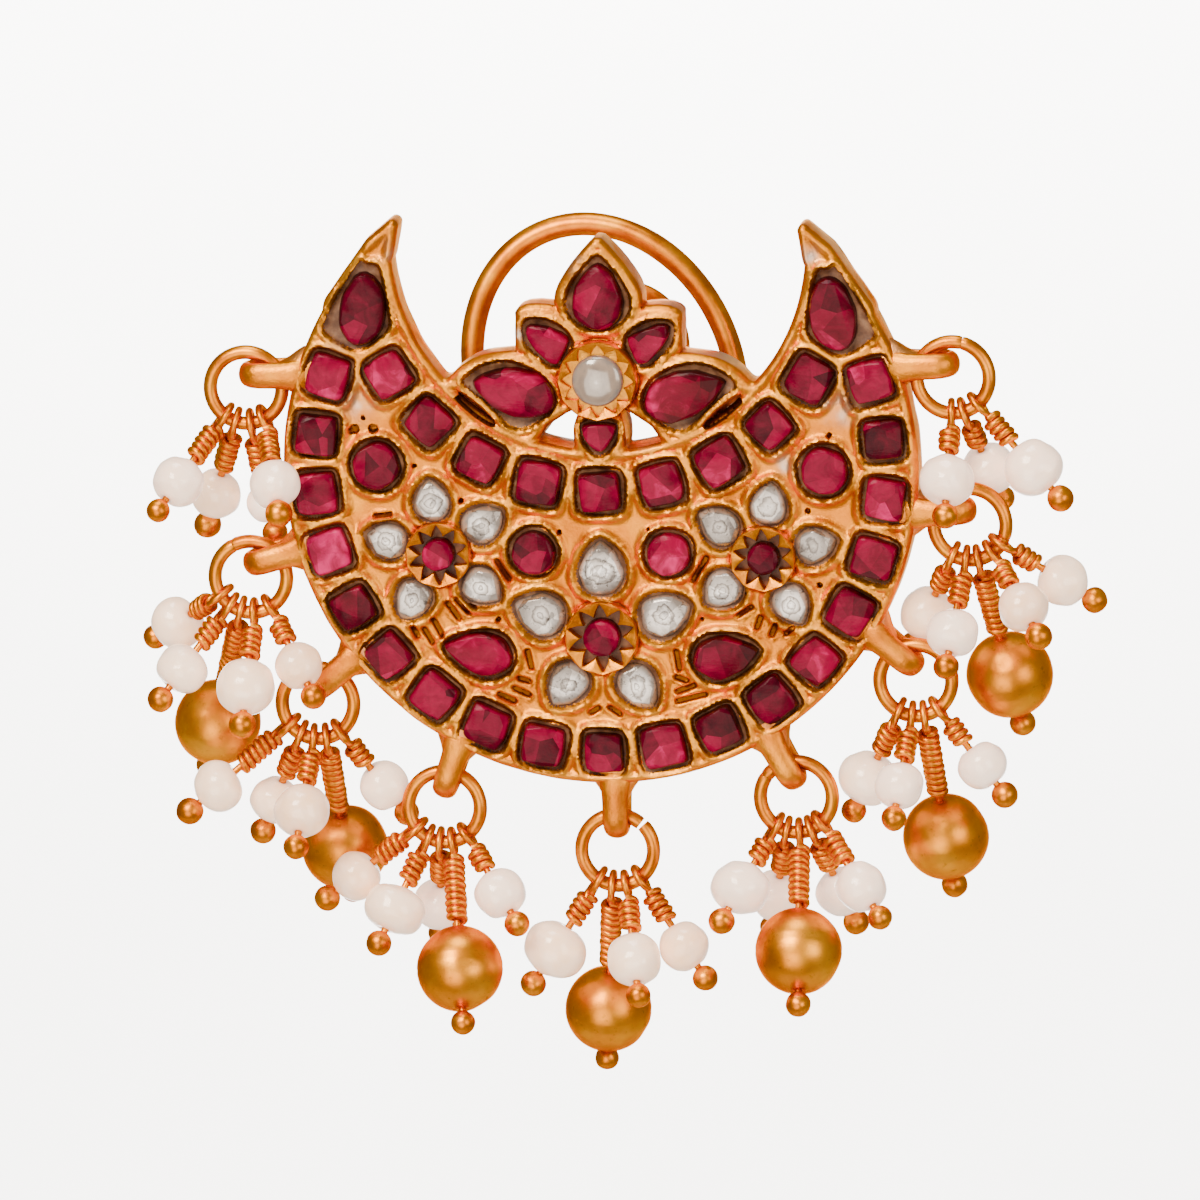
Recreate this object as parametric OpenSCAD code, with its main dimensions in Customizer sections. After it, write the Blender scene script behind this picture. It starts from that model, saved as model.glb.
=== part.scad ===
// Chandbali earring, the left one of a pair: a gilt silver crescent with a lotus
// in its mouth, set with rubies and uncut diamonds, and hung with nine clusters
// of pearls and gold beads. A post with a nut and a hinged oval loop hold it.
// Millimetres. The front is -Y, +X is right and +Z is up. The origin lies on the
// axis of the post, at the crescent's back face, behind the middle of the lotus.

/* [Crescent] */
// Radius of the crescent's outer edge
crescent_r = 17.45; // [17.1:0.05:17.8]
// Radius of the round mouth
mouth_r = 11.4; // [11.2:0.05:11.6]
// Height of the belly, from the outer edge to the mouth
belly_h = 18.48; // [18.3:0.02:18.7]
// Thickness of the back sheet under the stones
back_t = 1.3; // [1:0.05:1.6]
// Depth of the field above the back sheet
field_t = 0.9; // [0.7:0.05:1.1]
// Height of the cell walls above the field
rim_t = 0.3; // [0.15:0.05:0.5]
// Width of a cell's wall
rim_w = 0.3; // [0.2:0.02:0.34]

/* [Lotus] */
// How far the post lies above the belly's upper edge
lotus_rise = 3.97; // [3.8:0.01:4.1]
// Height of the lotus' tip above the post
lotus_h = 7.95; // [7.6:0.05:8.3]
// Radius of the polki in its middle
lotus_polki_r = 1.42; // [1.3:0.02:1.46]
// Height of the toothed collet round it above the field
lotus_collet_t = 0.9; // [0.6:0.05:1.2]
// Width of a toothed collet's wall
collet_w = 0.6; // [0.5:0.05:0.65]
// Height of the flowers' collets above the field
flower_collet_t = 0.6; // [0.4:0.05:0.9]

/* [Stones] */
// Side of a square ruby
square_ruby = 2.3; // [2.1:0.05:2.35]
// Distance between square rubies in the outer row
outer_pitch = 3.31; // [3.2:0.01:3.36]
// Distance between square rubies in the inner row
inner_pitch = 3.44; // [3.3:0.02:3.5]
// How far the outer row's middle lies inside the edge
outer_row_inset = 1.74; // [1.7:0.01:1.8]
// How far the inner row's middle lies outside the mouth
inner_row_inset = 2.25; // [2.1:0.05:2.4]
// Radius of the rubies in the side flowers
side_ruby_r = 0.9; // [0.8:0.05:0.95]
// Radius of the ruby in the bottom flower
bottom_ruby_r = 1; // [0.9:0.05:1.05]
// Gap between a stone and the side of its cell
stone_gap = 0.18; // [0.1:0.01:0.2]
// Gap under a stone
seat_gap = 0.05; // [0.03:0.01:0.1]
// Height of a stone's crown above its cell's wall
crown_t = 0.3; // [0.2:0.05:0.5]
// Width of a stone's table as a share of the stone
table_share = 0.62; // [0.5:0.02:0.75]

/* [Post, nut and loop] */
// Radius of the post
post_r = 0.45; // [0.4:0.01:0.5]
// Length of the post behind the crescent
post_l = 11.3; // [10.9:0.1:12]
// Radius of the solder pad at the foot of the post
post_pad_r = 1.5; // [1.2:0.1:2]
// Radius of the nut's disc
nut_disc_r = 3.65; // [3.4:0.05:3.8]
// Thickness of the nut's disc
nut_disc_t = 0.5; // [0.4:0.05:0.8]
// Radius of the nut's barrel
nut_barrel_r = 1.5; // [1.2:0.05:1.8]
// Length of the nut's barrel
nut_barrel_l = 2.4; // [2:0.1:2.5]
// Distance of the nut's disc behind the crescent
nut_y = 7.7; // [7.4:0.1:7.9]
// Clearance all round a post or pin in its hole
bore_gap = 0.05; // [0.02:0.01:0.08]
// Radius of the loop's wire
loop_wire_r = 0.64; // [0.55:0.01:0.7]
// Half the loop's long axis, to the middle of its wire
loop_long = 8.55; // [8.4:0.05:8.7]
// Half the loop's short axis, to the middle of its wire
loop_short = 7; // [6.9:0.05:7.1]
// How far the loop's long axis leans to the left
loop_tilt = 26.7; // [20:0.1:30]
// How far the loop leans back from the crescent
loop_lean = 11; // [9:0.5:13]
// How far the loop's middle lies left of the post
loop_shift = 0.42; // [0.2:0.02:0.6]
// How far the loop's middle lies below the post
loop_drop = 0.6; // [0.4:0.05:0.8]
// Radius of the hinge pin
hinge_pin_r = 0.45; // [0.4:0.01:0.5]
// Radius of the loop's knuckle
knuckle_r = 1.1; // [1:0.05:1.15]
// Length of the loop's knuckle
knuckle_l = 2.6; // [2.2:0.1:3]
// Distance from the hinge pin to the loop's wire
knuckle_neck = 1.85; // [1.8:0.05:2]
// Thickness of a hinge ear
ear_t = 0.8; // [0.6:0.05:1]
// Gap between the knuckle and an ear or the crescent
hinge_gap = 0.2; // [0.15:0.01:0.3]

/* [Hanging clusters] */
// Distance from the crescent's edge to the bail's outer bar
bail_reach = 2.85; // [2.75:0.05:3]
// Width of the bail's strap
bail_w = 1.4; // [1.2:0.05:1.5]
// Thickness of the bail's strap
bail_t = 0.55; // [0.5:0.02:0.6]
// Half the gap between the bail's two straps
bail_hole_r = 0.65; // [0.58:0.01:0.68]
// Radius of a jump ring, to the middle of its wire
ring_r = 1.98; // [1.95:0.01:2.05]
// Radius of a jump ring's wire
ring_wire_r = 0.38; // [0.34:0.01:0.4]
// Radius of a head pin's eye, to the middle of its wire
eye_r = 0.82; // [0.8:0.01:0.86]
// Radius of a head pin's wire
pin_r = 0.19; // [0.17:0.01:0.2]
// Distance from one turn of the wrapped wire to the next
wrap_pitch = 0.4; // [0.38:0.01:0.41]
// Radius of the ball at a pin's end
ball_r = 0.7; // [0.6:0.02:0.74]
// Radius of a gold bead
gold_bead_r = 2.4; // [2.2:0.05:2.45]
// Size of the largest pearl
pearl_w = 3.5; // [3.3:0.02:3.6]
// Gap between pieces that hang on or rest on each other
hang_gap = 0.08; // [0.05:0.01:0.1]

/* [Hidden] */
$fn = 48;
gold = [0.86, 0.62, 0.22];
ruby = [0.74, 0.08, 0.22];
polki = [0.78, 0.76, 0.74];
pearl = [0.95, 0.9, 0.84];

rim_y = back_t + field_t + rim_t;
field_y = back_t + field_t;
// How far the crescent's centre lies below the post
crescent_drop = belly_h + lotus_rise - crescent_r;
mouth_z = mouth_r - lotus_rise;
cell_gap = stone_gap + rim_w;
// Depth by which soldered pieces run into each other
weld = 0.3;
// Height and slope of the solder at the foot of a bail or of the post
foot_t = 0.35;
foot_slope = 0.2;
// Metal round the hinge pin in each ear
ear_wall = 0.4;
// Thickness of the knuckle's neck, and how much narrower it is at each side
neck_t = 0.8;
neck_inset = 0.3;
// How far the turns of a wrapped wire are pressed into each other
wrap_press = 0.015;
// Radius of the dome that flattens a pearl, as a share of its width
dome_share = 0.85;

// Clusters, from the left horn round to the right one. Each has its name, the
// place of its bail on the crescent's edge, the way that the bail points, and
// its drops. Angles go anticlockwise from +X. A drop has its place on the ring
// from the lowest point to the right, its lean to the right, its lean to the
// front, the turns of its wrapped wire, and its pearl's width and height as
// shares of the largest pearl. A drop with no pearl size carries a gold bead.
CLUSTERS = [
    ["a", 163.5, 181, [
        [-39, -34, 37, 6, 0.80, 0.76],
        [-18, -18, -19, 6, 0.80, 0.76],
        [7, 8, -17, 7, 0.68, 0.62],
        [30, 19, 48, 6, 0.80, 0.74]]],
    ["b", -164, -163, [
        [-59, -54, -32, 4, 0.86, 0.76],
        [-38, -36, 22, 5, 0.82, 0.76],
        [4, -1, 38, 5, 0.94, 0.88],
        [32, 33, 32, 4, 0.77, 0.75],
        [-17, -16, -28, 12]]],
    ["c", -142, -139, [
        [-54, -49, 11, 7, 0.82, 0.76],
        [-29, -23, -14, 5, 0.82, 0.76],
        [-9, -4, 40, 5, 0.88, 0.85],
        [38, 35, -15, 4, 0.80, 0.76],
        [13, 3, -29, 11]]],
    ["d", -117.5, -109, [
        [-53, -51, -2, 5, 0.80, 0.76],
        [-29, -24, 24, 5, 1.00, 0.76],
        [-8, -5, -29, 5, 0.86, 0.80],
        [38, 36, 29, 4, 0.80, 0.76],
        [12, 8, 32, 10]]],
    ["e", -88.2, -90, [
        [-33, -32, 5, 5, 1.00, 0.86],
        [13, 12, 36, 5, 0.86, 0.84],
        [39, 34, 8, 5, 0.80, 0.78],
        [-9, -5, -18, 11]]],
    ["f", -58.7, -61, [
        [-36, -29, 31, 4, 0.97, 0.82],
        [-16, -12, -24, 5, 0.86, 0.80],
        [24, 20, -24, 5, 0.82, 0.80],
        [44, 38, 29, 5, 0.82, 0.80],
        [4, 4, 35, 9]]],
    ["g", -31.3, -40, [
        [-29, -25, -14, 5, 0.94, 0.82],
        [-8, -6, 39, 5, 0.77, 0.73],
        [38, 37, -1, 4, 0.80, 0.73],
        [13, 6, -21, 11]]],
    ["h", -7.4, 1, [
        [-29, -25, -20, 4, 0.86, 0.82],
        [-8, -7, 36, 5, 0.80, 0.76],
        [38, 37, 37, 4, 0.82, 0.76],
        [59, 55, -16, 4, 0.82, 0.80],
        [13, 11, -20, 10]]],
    ["i", 19.3, 3, [
        [-4, 1, 38, 4, 0.86, 0.82],
        [17, 18, -27, 4, 0.86, 0.80],
        [43, 42, 6, 5, 0.92, 0.86]]]];
function has_gold(c) = len([for (d = c[3]) if (len(d) == 4) d]) > 0;

// Single stones. Each has its name, its place across and up from the crescent's
// centre as shares of crescent_r, the way that it points, its width and length
// as shares of square_ruby, and how pointed it is.
BODY_STONES = [
    ["horn_ruby_left", -0.744, 0.508, 78, 1.09, 1.61, 0.45],
    ["horn_ruby_right", 0.744, 0.508, 102, 1.09, 1.61, 0.45],
    ["round_ruby_outer_left", -0.705, 0.003, 0, 1.07, 1.07, 0],
    ["round_ruby_outer_right", 0.705, 0.003, 0, 1.07, 1.07, 0],
    ["round_ruby_inner_left", -0.213, -0.264, 0, 1.09, 1.09, 0],
    ["round_ruby_inner_right", 0.213, -0.264, 0, 1.09, 1.09, 0],
    ["pear_ruby_left", -0.391, -0.590, 168, 1.13, 1.57, 0.6],
    ["pear_ruby_right", 0.391, -0.590, 12, 1.13, 1.57, 0.6]];
// The lotus' rubies, with places as shares of lotus_h from the post
LOTUS_STONES = [
    ["lotus_ruby_top", 0, 0.575, 90, 1.26, 1.39, 0.55],
    ["lotus_ruby_upper_left", -0.375, 0.315, 138, 0.87, 0.91, 0.4],
    ["lotus_ruby_upper_right", 0.375, 0.315, 42, 0.87, 0.91, 0.4],
    ["lotus_ruby_side_left", -0.590, -0.085, 163, 1.13, 1.74, 0.6],
    ["lotus_ruby_side_right", 0.590, -0.085, 17, 1.13, 1.74, 0.6],
    ["lotus_ruby_bottom", 0, -0.405, -90, 0.83, 0.57, 0.3]];
// Flowers: name, place as shares of crescent_r, the middle ruby's radius, and
// the petals' directions, their distances as shares of crescent_r, and their
// widths and lengths as shares of square_ruby
FLOWERS = [
    ["flower_left", -0.512, -0.275, side_ruby_r, [
        [166, 0.172, 0.83, 0.93], [97, 0.172, 0.83, 0.93], [35, 0.175, 0.87, 1.02],
        [-38, 0.170, 0.87, 0.93], [-120, 0.172, 0.83, 0.96]]],
    ["flower_right", 0.512, -0.275, side_ruby_r, [
        [14, 0.172, 0.83, 0.93], [83, 0.172, 0.83, 0.93], [145, 0.175, 0.87, 1.02],
        [218, 0.170, 0.87, 0.93], [300, 0.172, 0.83, 0.96]]],
    ["flower_bottom", 0, -0.533, bottom_ruby_r, [
        [90, 0.221, 1.13, 1.3], [20, 0.212, 1.09, 1.26], [160, 0.212, 1.09, 1.26],
        [306, 0.192, 0.96, 1.13], [234, 0.192, 0.96, 1.13]]]];
// How pointed a polki petal is
petal_share = 0.5;

// A drop's outline pointing to +X: round at 0, a teardrop towards 1. It has an
// even number of corners, so that one is the tip.
function drop_points(w, l, point, n = 12) = [
    for (i = [0:n - 1])
        let (t = i * 360 / n, k = pow(sin(t / 2), point))
        [l / 2 * cos(t), w / 2 * sin(t) * k / pow(sin(60), point)]];
// A square ruby's outline, with small cut corners
function square_points(s, cut = 0.16) = [
    for (q = [0:3], p = [[0.5, -0.5 + cut], [0.5, 0.5 - cut]])
        let (c = cos(90 * q), k = sin(90 * q))
        s * [p[0] * c - p[1] * k, p[0] * k + p[1] * c]];
function single_points(s) = drop_points(s[4] * square_ruby, s[5] * square_ruby, s[6]);
function petal_points(p) = drop_points(p[2] * square_ruby, p[3] * square_ruby, petal_share);
function outer_at(i) = [crescent_r - outer_row_inset, 270
    + i * outer_pitch / (crescent_r - outer_row_inset) * 180 / PI, -crescent_drop];
function inner_at(i) = [mouth_r + inner_row_inset, 270
    + i * inner_pitch / (mouth_r + inner_row_inset) * 180 / PI, mouth_z];

// Turns a drawing with its Y up into one that stands up, facing the front at
// the depth y behind the crescent's back face
module stand(y) {
    translate([0, -y, 0]) rotate([90, 0, 0]) children();
}
module place_row(a) {
    translate([a[0] * cos(a[1]), a[2] + a[0] * sin(a[1])]) rotate(a[1]) children();
}
module place_stone(s, size, z) {
    translate([s[1] * size, z + s[2] * size]) rotate(s[3]) children();
}
module place_flower(f) {
    translate([f[1] * crescent_r, f[2] * crescent_r - crescent_drop]) children();
}
module place_petal(p) {
    rotate(p[0]) translate([p[1] * crescent_r, 0]) children();
}

// The lotus' petals, as shares of lotus_h, on the right of its middle
TOP_PETAL = [[0, 1], [0.10, 0.90], [0.21, 0.77], [0.30, 0.62], [0.31, 0.50],
    [0.24, 0.30], [0, 0.1]];
UPPER_PETAL = [[0.1, 0.1], [0.585, 0.18], [0.585, 0.42], [0.47, 0.51], [0.28, 0.49],
    [0.1, 0.35]];
SIDE_PETAL = [[-0.05, -0.1], [0.33, -0.29], [0.45, -0.47], [0.74, -0.34],
    [0.78, -0.215], [0.93, -0.11], [1.02, -0.07], [1.2, -0.11], [1.13, -0.03],
    [1.05, -0.02], [0.96, 0.07], [0.84, 0.14], [0.71, 0.17], [0.56, 0.18], [-0.05, 0.18]];
BOTTOM_PETAL = [[0, 0], [0.16, -0.22], [0.20, -0.36], [0.21, -0.60], [0, -0.62]];

module lotus_outline() {
    round_r = 0.25;
    offset(r = round_r) offset(delta = -round_r)
        for (side = [0, 1], p = [TOP_PETAL, UPPER_PETAL, SIDE_PETAL, BOTTOM_PETAL])
            mirror([side, 0]) polygon(p * lotus_h);
}

// The horns run on to small blunt tips above the mouth: places across and up
// from the crescent's centre, and radii, as shares of crescent_r
HORN = [[0.646, 0.79, 0.02], [0.694, 0.68, 0.0516], [0.80, 0.50, 0.0688]];
module horn_tips() {
    for (side = [0, 1])
        mirror([side, 0]) hull() {
            for (k = HORN)
                translate([k[0], k[1]] * crescent_r - [0, crescent_drop]) circle(k[2] * crescent_r);
        }
}
module outline() {
    difference() {
        translate([0, -crescent_drop]) circle(crescent_r, $fn = 96);
        translate([0, mouth_z]) circle(mouth_r, $fn = 96);
    }
    horn_tips();
    lotus_outline();
}

// All the cells, grown by g from the stones' own outlines
module cells(g) {
    offset(delta = g) {
        for (i = [-9:9]) place_row(outer_at(i)) polygon(square_points(square_ruby));
        for (i = [-4:4]) place_row(inner_at(i)) polygon(square_points(square_ruby));
        for (s = BODY_STONES)
            place_stone(s, crescent_r, -crescent_drop) polygon(single_points(s));
        for (s = LOTUS_STONES) place_stone(s, lotus_h, 0) polygon(single_points(s));
        for (f = FLOWERS, p = f[4])
            place_flower(f) place_petal(p) polygon(petal_points(p));
    }
    for (f = FLOWERS) place_flower(f) circle(f[3] + g);
    circle(lotus_polki_r + g);
}

// A collet whose inner edge is filed to sharp teeth round a stone of radius r
module toothed_collet(r, teeth, h) {
    outer_r = r + stone_gap + collet_w;
    r1 = outer_r - collet_w * 0.9;
    r2 = outer_r - collet_w * 0.4;
    stand(back_t + weld) linear_extrude(field_t - weld + h) difference() {
        circle(outer_r);
        polygon([for (i = [0:2 * teeth - 1])
            (i % 2 == 0 ? r2 : r1) * [cos(i * 180 / teeth), sin(i * 180 / teeth)]]);
    }
}

// A bail is a strap bent into an eye, soldered to the edge by a flared foot.
// It lies along +X, with its hole going through it along Y of the drawing.
module bail() {
    outer_r = bail_hole_r + bail_t;
    end_x = bail_reach + bail_t / 2 - outer_r;
    rotate([0, 90, 0]) translate([0, 0, -weld]) cylinder(weld + foot_t, outer_r, outer_r - foot_slope);
    rotate([90, 0, 0]) linear_extrude(bail_w, center = true) difference() {
        union() {
            translate([end_x, 0]) circle(outer_r);
            translate([-weld, -outer_r]) square([end_x + weld, 2 * outer_r]);
        }
        translate([end_x, 0]) circle(bail_hole_r);
        translate([foot_t, -bail_hole_r]) square([end_x - foot_t, 2 * bail_hole_r]);
    }
}
// The bail's frame: X points outwards, and Z is turned to face the front
module place_bail(c) {
    translate([crescent_r * cos(c[1]), -rim_y / 2, crescent_r * sin(c[1]) - crescent_drop])
        rotate([0, -c[2], 0]) rotate([90, 0, 0]) children();
}

// The lowest point of the loop's leaning oval, from the oval's middle, and the
// hinge pin's place below it
loop_low_z = -norm([loop_long * cos(loop_tilt), loop_short * sin(loop_tilt)]);
loop_low_x = (pow(loop_short, 2) - pow(loop_long, 2)) * sin(2 * loop_tilt) / 2 / loop_low_z;
hinge_x = loop_low_x - loop_shift;
hinge_y = knuckle_r + hinge_gap;
hinge_z = loop_low_z - loop_drop - knuckle_neck;

module hinge_bracket() {
    for (side = [-1, 1])
        translate([hinge_x + side * (knuckle_l / 2 + hinge_gap + ear_t / 2), hinge_y, hinge_z])
            rotate([0, 90, 0]) {
                cylinder(ear_t, hinge_pin_r + ear_wall, hinge_pin_r + ear_wall, center = true);
                translate([-hinge_pin_r - ear_wall, -hinge_y - weld, -ear_t / 2])
                    cube([2 * hinge_pin_r + 4 * ear_wall, hinge_y + weld, ear_t]);
            }
    translate([hinge_x, hinge_y, hinge_z]) rotate([0, 90, 0])
        cylinder(knuckle_l + 2 * hinge_gap + 2 * ear_t, hinge_pin_r, hinge_pin_r, center = true);
}

// Crescent, lotus, cell walls, collets, bails, post and hinge ears, all
// soldered into one piece
module gold_frame() {
    color(gold) {
        difference() {
            union() {
                stand(0) linear_extrude(field_y) outline();
                stand(field_y - weld) linear_extrude(rim_t + weld)
                    intersection() {
                        outline();
                        cells(cell_gap);
                    }
            }
            stand(back_t) linear_extrude(field_t + rim_t + 1) cells(stone_gap);
        }
        for (f = FLOWERS)
            translate([f[1] * crescent_r, 0, f[2] * crescent_r - crescent_drop])
                toothed_collet(f[3], 10, flower_collet_t);
        toothed_collet(lotus_polki_r, 14, lotus_collet_t);
        for (c = CLUSTERS) place_bail(c) bail();
        rotate([-90, 0, 0]) {
            translate([0, 0, -weld]) cylinder(post_l + weld - post_r, post_r, post_r);
            translate([0, 0, post_l - post_r]) sphere(post_r);
            translate([0, 0, -weld]) cylinder(weld + foot_t, post_pad_r, post_pad_r - foot_slope);
        }
        hinge_bracket();
    }
}

// The nut that is pushed on the post: a thin disc with a barrel behind it
module ear_nut() {
    color(gold) translate([0, nut_y, 0]) rotate([-90, 0, 0]) rotate_extrude()
        translate([post_r + bore_gap, 0]) {
            square([nut_disc_r - post_r - bore_gap, nut_disc_t]);
            square([nut_barrel_r - post_r - bore_gap, nut_disc_t + nut_barrel_l]);
        }
}

// Round wire bent to an oval: rings of corners round the oval's own line
module wire_oval(long, short, r, rings = 56, sides = 10) {
    points = [for (i = [0:rings - 1], k = [0:sides - 1])
        let (a = i * 360 / rings, b = k * 360 / sides, n = unit([short * cos(a), long * sin(a)]))
        [long * cos(a) + r * cos(b) * n[0], short * sin(a) + r * cos(b) * n[1], r * sin(b)]];
    faces = [for (i = [0:rings - 1], k = [0:sides - 1])
        let (i2 = (i + 1) % rings, k2 = (k + 1) % sides)
        [i * sides + k, i * sides + k2, i2 * sides + k2, i2 * sides + k]];
    polyhedron(points, faces);
}
// The hinged oval loop, on a knuckle that turns on the hinge pin
module omega_loop() {
    color(gold) translate([hinge_x, hinge_y, hinge_z]) rotate([-loop_lean, 0, 0])
        difference() {
            union() {
                translate([-loop_low_x, 0, knuckle_neck - loop_low_z]) rotate([90, 0, 0])
                    rotate(90 + loop_tilt) wire_oval(loop_long, loop_short, loop_wire_r);
                rotate([0, 90, 0]) cylinder(knuckle_l, knuckle_r, knuckle_r, center = true);
                translate([-knuckle_l / 2 + neck_inset, -neck_t / 2, 0])
                    cube([knuckle_l - 2 * neck_inset, neck_t, knuckle_neck - loop_wire_r / 3]);
            }
            rotate([0, 90, 0]) cylinder(knuckle_l + 1, hinge_pin_r + bore_gap,
                hinge_pin_r + bore_gap, center = true);
        }
}

// A flat-backed stone with a straight girdle, a ring of crown facets and a table
module cut_stone(points, top) {
    n = len(points);
    base = back_t + seat_gap;
    girdle = field_y + rim_t - base;
    levels = [[0, 1], [girdle, 1], [top, table_share]];
    stand(base) polyhedron(
        [for (v = levels, p = points) [p[0] * v[1], p[1] * v[1], v[0]]],
        concat([[for (i = [0:n - 1]) i]],
            [for (v = [0, 1], i = [0:n - 1])
                let (j = (i + 1) % n) [v * n + i, v * n + n + i, v * n + n + j, v * n + j]],
            [[for (i = [n - 1:-1:0]) 2 * n + i]]));
}
module seat(x, z, a) {
    translate([x, 0, z]) rotate([0, -a, 0]) children();
}
module row_stone(a) {
    seat(a[0] * cos(a[1]), a[2] + a[0] * sin(a[1]), a[1])
        cut_stone(square_points(square_ruby), rim_y + crown_t - back_t - seat_gap);
}
module outer_row_rubies() {
    color(ruby) for (i = [-9:9]) row_stone(outer_at(i));
}
module inner_row_rubies() {
    color(ruby) for (i = [-4:4]) row_stone(inner_at(i));
}
module single_stone(s, size, z) {
    color(ruby) seat(s[1] * size, z + s[2] * size, s[3])
        cut_stone(single_points(s), rim_y + crown_t - back_t - seat_gap);
}
module flower_ruby(f) {
    color(ruby) seat(f[1] * crescent_r, f[2] * crescent_r - crescent_drop, 0)
        cut_stone(drop_points(2 * f[3], 2 * f[3], 0),
            field_t + flower_collet_t + crown_t - seat_gap);
}
module flower_petals(f) {
    color(polki) for (p = f[4])
        translate([f[1] * crescent_r, 0, f[2] * crescent_r - crescent_drop])
            seat(p[1] * crescent_r * cos(p[0]), p[1] * crescent_r * sin(p[0]), p[0])
                cut_stone(petal_points(p), rim_y + crown_t / 2 - back_t - seat_gap);
}
module lotus_polki() {
    color(polki) cut_stone(drop_points(2 * lotus_polki_r, 2 * lotus_polki_r, 0),
        field_t + lotus_collet_t + crown_t - seat_gap);
}

// A ring hangs so that its inside clears the bar's highest corner by hang_gap
ring_inner_r = ring_r - ring_wire_r;
function bar_corners(a) = [for (u = [-1, 1], v = [-1, 1])
    [u * bail_t / 2 * cos(a) - v * bail_w / 2 * sin(a),
        u * bail_t / 2 * sin(a) + v * bail_w / 2 * cos(a)]];
function ring_drop(a) = min([for (k = bar_corners(a))
    sqrt(pow(ring_inner_r - hang_gap, 2) - k[0] * k[0]) - k[1]]);
function ring_at(c) = [crescent_r * cos(c[1]) + bail_reach * cos(c[2]), -rim_y / 2,
    crescent_r * sin(c[1]) - crescent_drop + bail_reach * sin(c[2]) - ring_drop(c[2])];
module jump_ring(c) {
    color(gold) translate(ring_at(c)) rotate([90, 0, 0])
        rotate_extrude() translate([ring_r, 0]) circle(ring_wire_r, $fn = 24);
}

// A drop hangs down its own axis d from the ring. Its frame has Z up the pin,
// and X across the eye, along the ring's wire.
function unit(v) = v / norm(v);
function drop_axis(d) = [sin(d[1]) * cos(d[2]), -sin(d[2]), -cos(d[1]) * cos(d[2])];
function ring_way(d) = [cos(d[0]), 0, sin(d[0])];
function drop_frame(c, d) = let (
    a = drop_axis(d),
    x = unit(ring_way(d) - (ring_way(d) * a) * a),
    y = cross(-a, x),
    o = ring_at(c) + ring_r * [sin(d[0]), 0, -cos(d[0])]
        + (eye_r - pin_r - ring_wire_r - hang_gap) * a)
    [[x[0], y[0], -a[0], o[0]], [x[1], y[1], -a[1], o[1]], [x[2], y[2], -a[2], o[2]],
        [0, 0, 0, 1]];
function is_gold(d) = len(d) == 4;
function bead_h(d) = is_gold(d) ? 2 * gold_bead_r : d[5] * pearl_w;
// Distance from the eye's middle down to the middle of the pearl or bead
function bead_down(d) = eye_r + d[3] * wrap_pitch + hang_gap + bead_h(d) / 2;

// A head pin: a ball, a stem, a tight wrap of wire and an eye, in one piece
module head_pin(d) {
    wrap_x = 2 * pin_r;
    turn_r = wrap_pitch / 2 + wrap_press;
    ball_z = -bead_down(d) - bead_h(d) / 2 - ball_r - hang_gap / 2;
    rotate_extrude() {
        for (i = [0:d[3] - 1])
            translate([wrap_x, -eye_r - i * wrap_pitch]) circle(turn_r, $fn = 24);
        translate([0, ball_z]) square([pin_r, -ball_z - eye_r]);
        intersection() {
            translate([0, ball_z]) circle(ball_r, $fn = 32);
            translate([0, ball_z - ball_r]) square(2 * ball_r);
        }
    }
    rotate([0, 90, 0]) rotate_extrude() translate([eye_r, 0]) circle(pin_r, $fn = 24);
}
module head_pins(c) {
    color(gold) for (d = c[3]) multmatrix(drop_frame(c, d)) head_pin(d);
}
// A bead turned from the outline that is given, and drilled for its pin
module drilled_bead(w) {
    rotate_extrude() difference() {
        children();
        translate([-w, -w]) square([w + pin_r + bore_gap, 2 * w]);
    }
}
// A pearl is a ball, flattened by a shallower dome above and below
module pearl_outline(w, h) {
    dome_r = w * dome_share;
    intersection() {
        circle(w / 2);
        translate([0, h / 2 - dome_r]) circle(dome_r);
        translate([0, dome_r - h / 2]) circle(dome_r);
    }
}
module pearls(c) {
    color(pearl) for (d = c[3])
        if (!is_gold(d))
            multmatrix(drop_frame(c, d)) translate([0, 0, -bead_down(d)])
                drilled_bead(pearl_w) pearl_outline(d[4] * pearl_w, d[5] * pearl_w);
}
module gold_bead(c) {
    color(gold) for (d = c[3])
        if (is_gold(d))
            multmatrix(drop_frame(c, d)) translate([0, 0, -bead_down(d)])
                drilled_bead(2 * gold_bead_r) circle(gold_bead_r);
}

gold_frame();
ear_nut();
omega_loop();
outer_row_rubies();
inner_row_rubies();
lotus_polki();
for (s = BODY_STONES)
    single_stone(s, crescent_r, -crescent_drop);
for (s = LOTUS_STONES)
    single_stone(s, lotus_h, 0);
for (f = FLOWERS) {
    flower_ruby(f);
    flower_petals(f);
}
for (c = CLUSTERS) {
    jump_ring(c);
    head_pins(c);
    pearls(c);
    gold_bead(c);
}
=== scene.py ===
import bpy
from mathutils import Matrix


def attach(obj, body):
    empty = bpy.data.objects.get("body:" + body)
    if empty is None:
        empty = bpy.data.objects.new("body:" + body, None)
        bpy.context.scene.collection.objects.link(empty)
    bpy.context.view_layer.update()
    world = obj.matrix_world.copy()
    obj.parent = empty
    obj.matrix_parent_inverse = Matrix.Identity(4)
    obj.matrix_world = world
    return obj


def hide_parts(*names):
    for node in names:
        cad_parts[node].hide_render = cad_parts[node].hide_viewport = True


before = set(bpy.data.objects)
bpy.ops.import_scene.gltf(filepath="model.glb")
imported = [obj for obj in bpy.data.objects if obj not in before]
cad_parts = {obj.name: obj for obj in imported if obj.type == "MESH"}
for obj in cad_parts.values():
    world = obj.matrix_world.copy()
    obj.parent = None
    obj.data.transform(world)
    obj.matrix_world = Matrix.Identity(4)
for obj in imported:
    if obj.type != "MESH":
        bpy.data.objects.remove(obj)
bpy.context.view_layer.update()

import math

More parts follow.
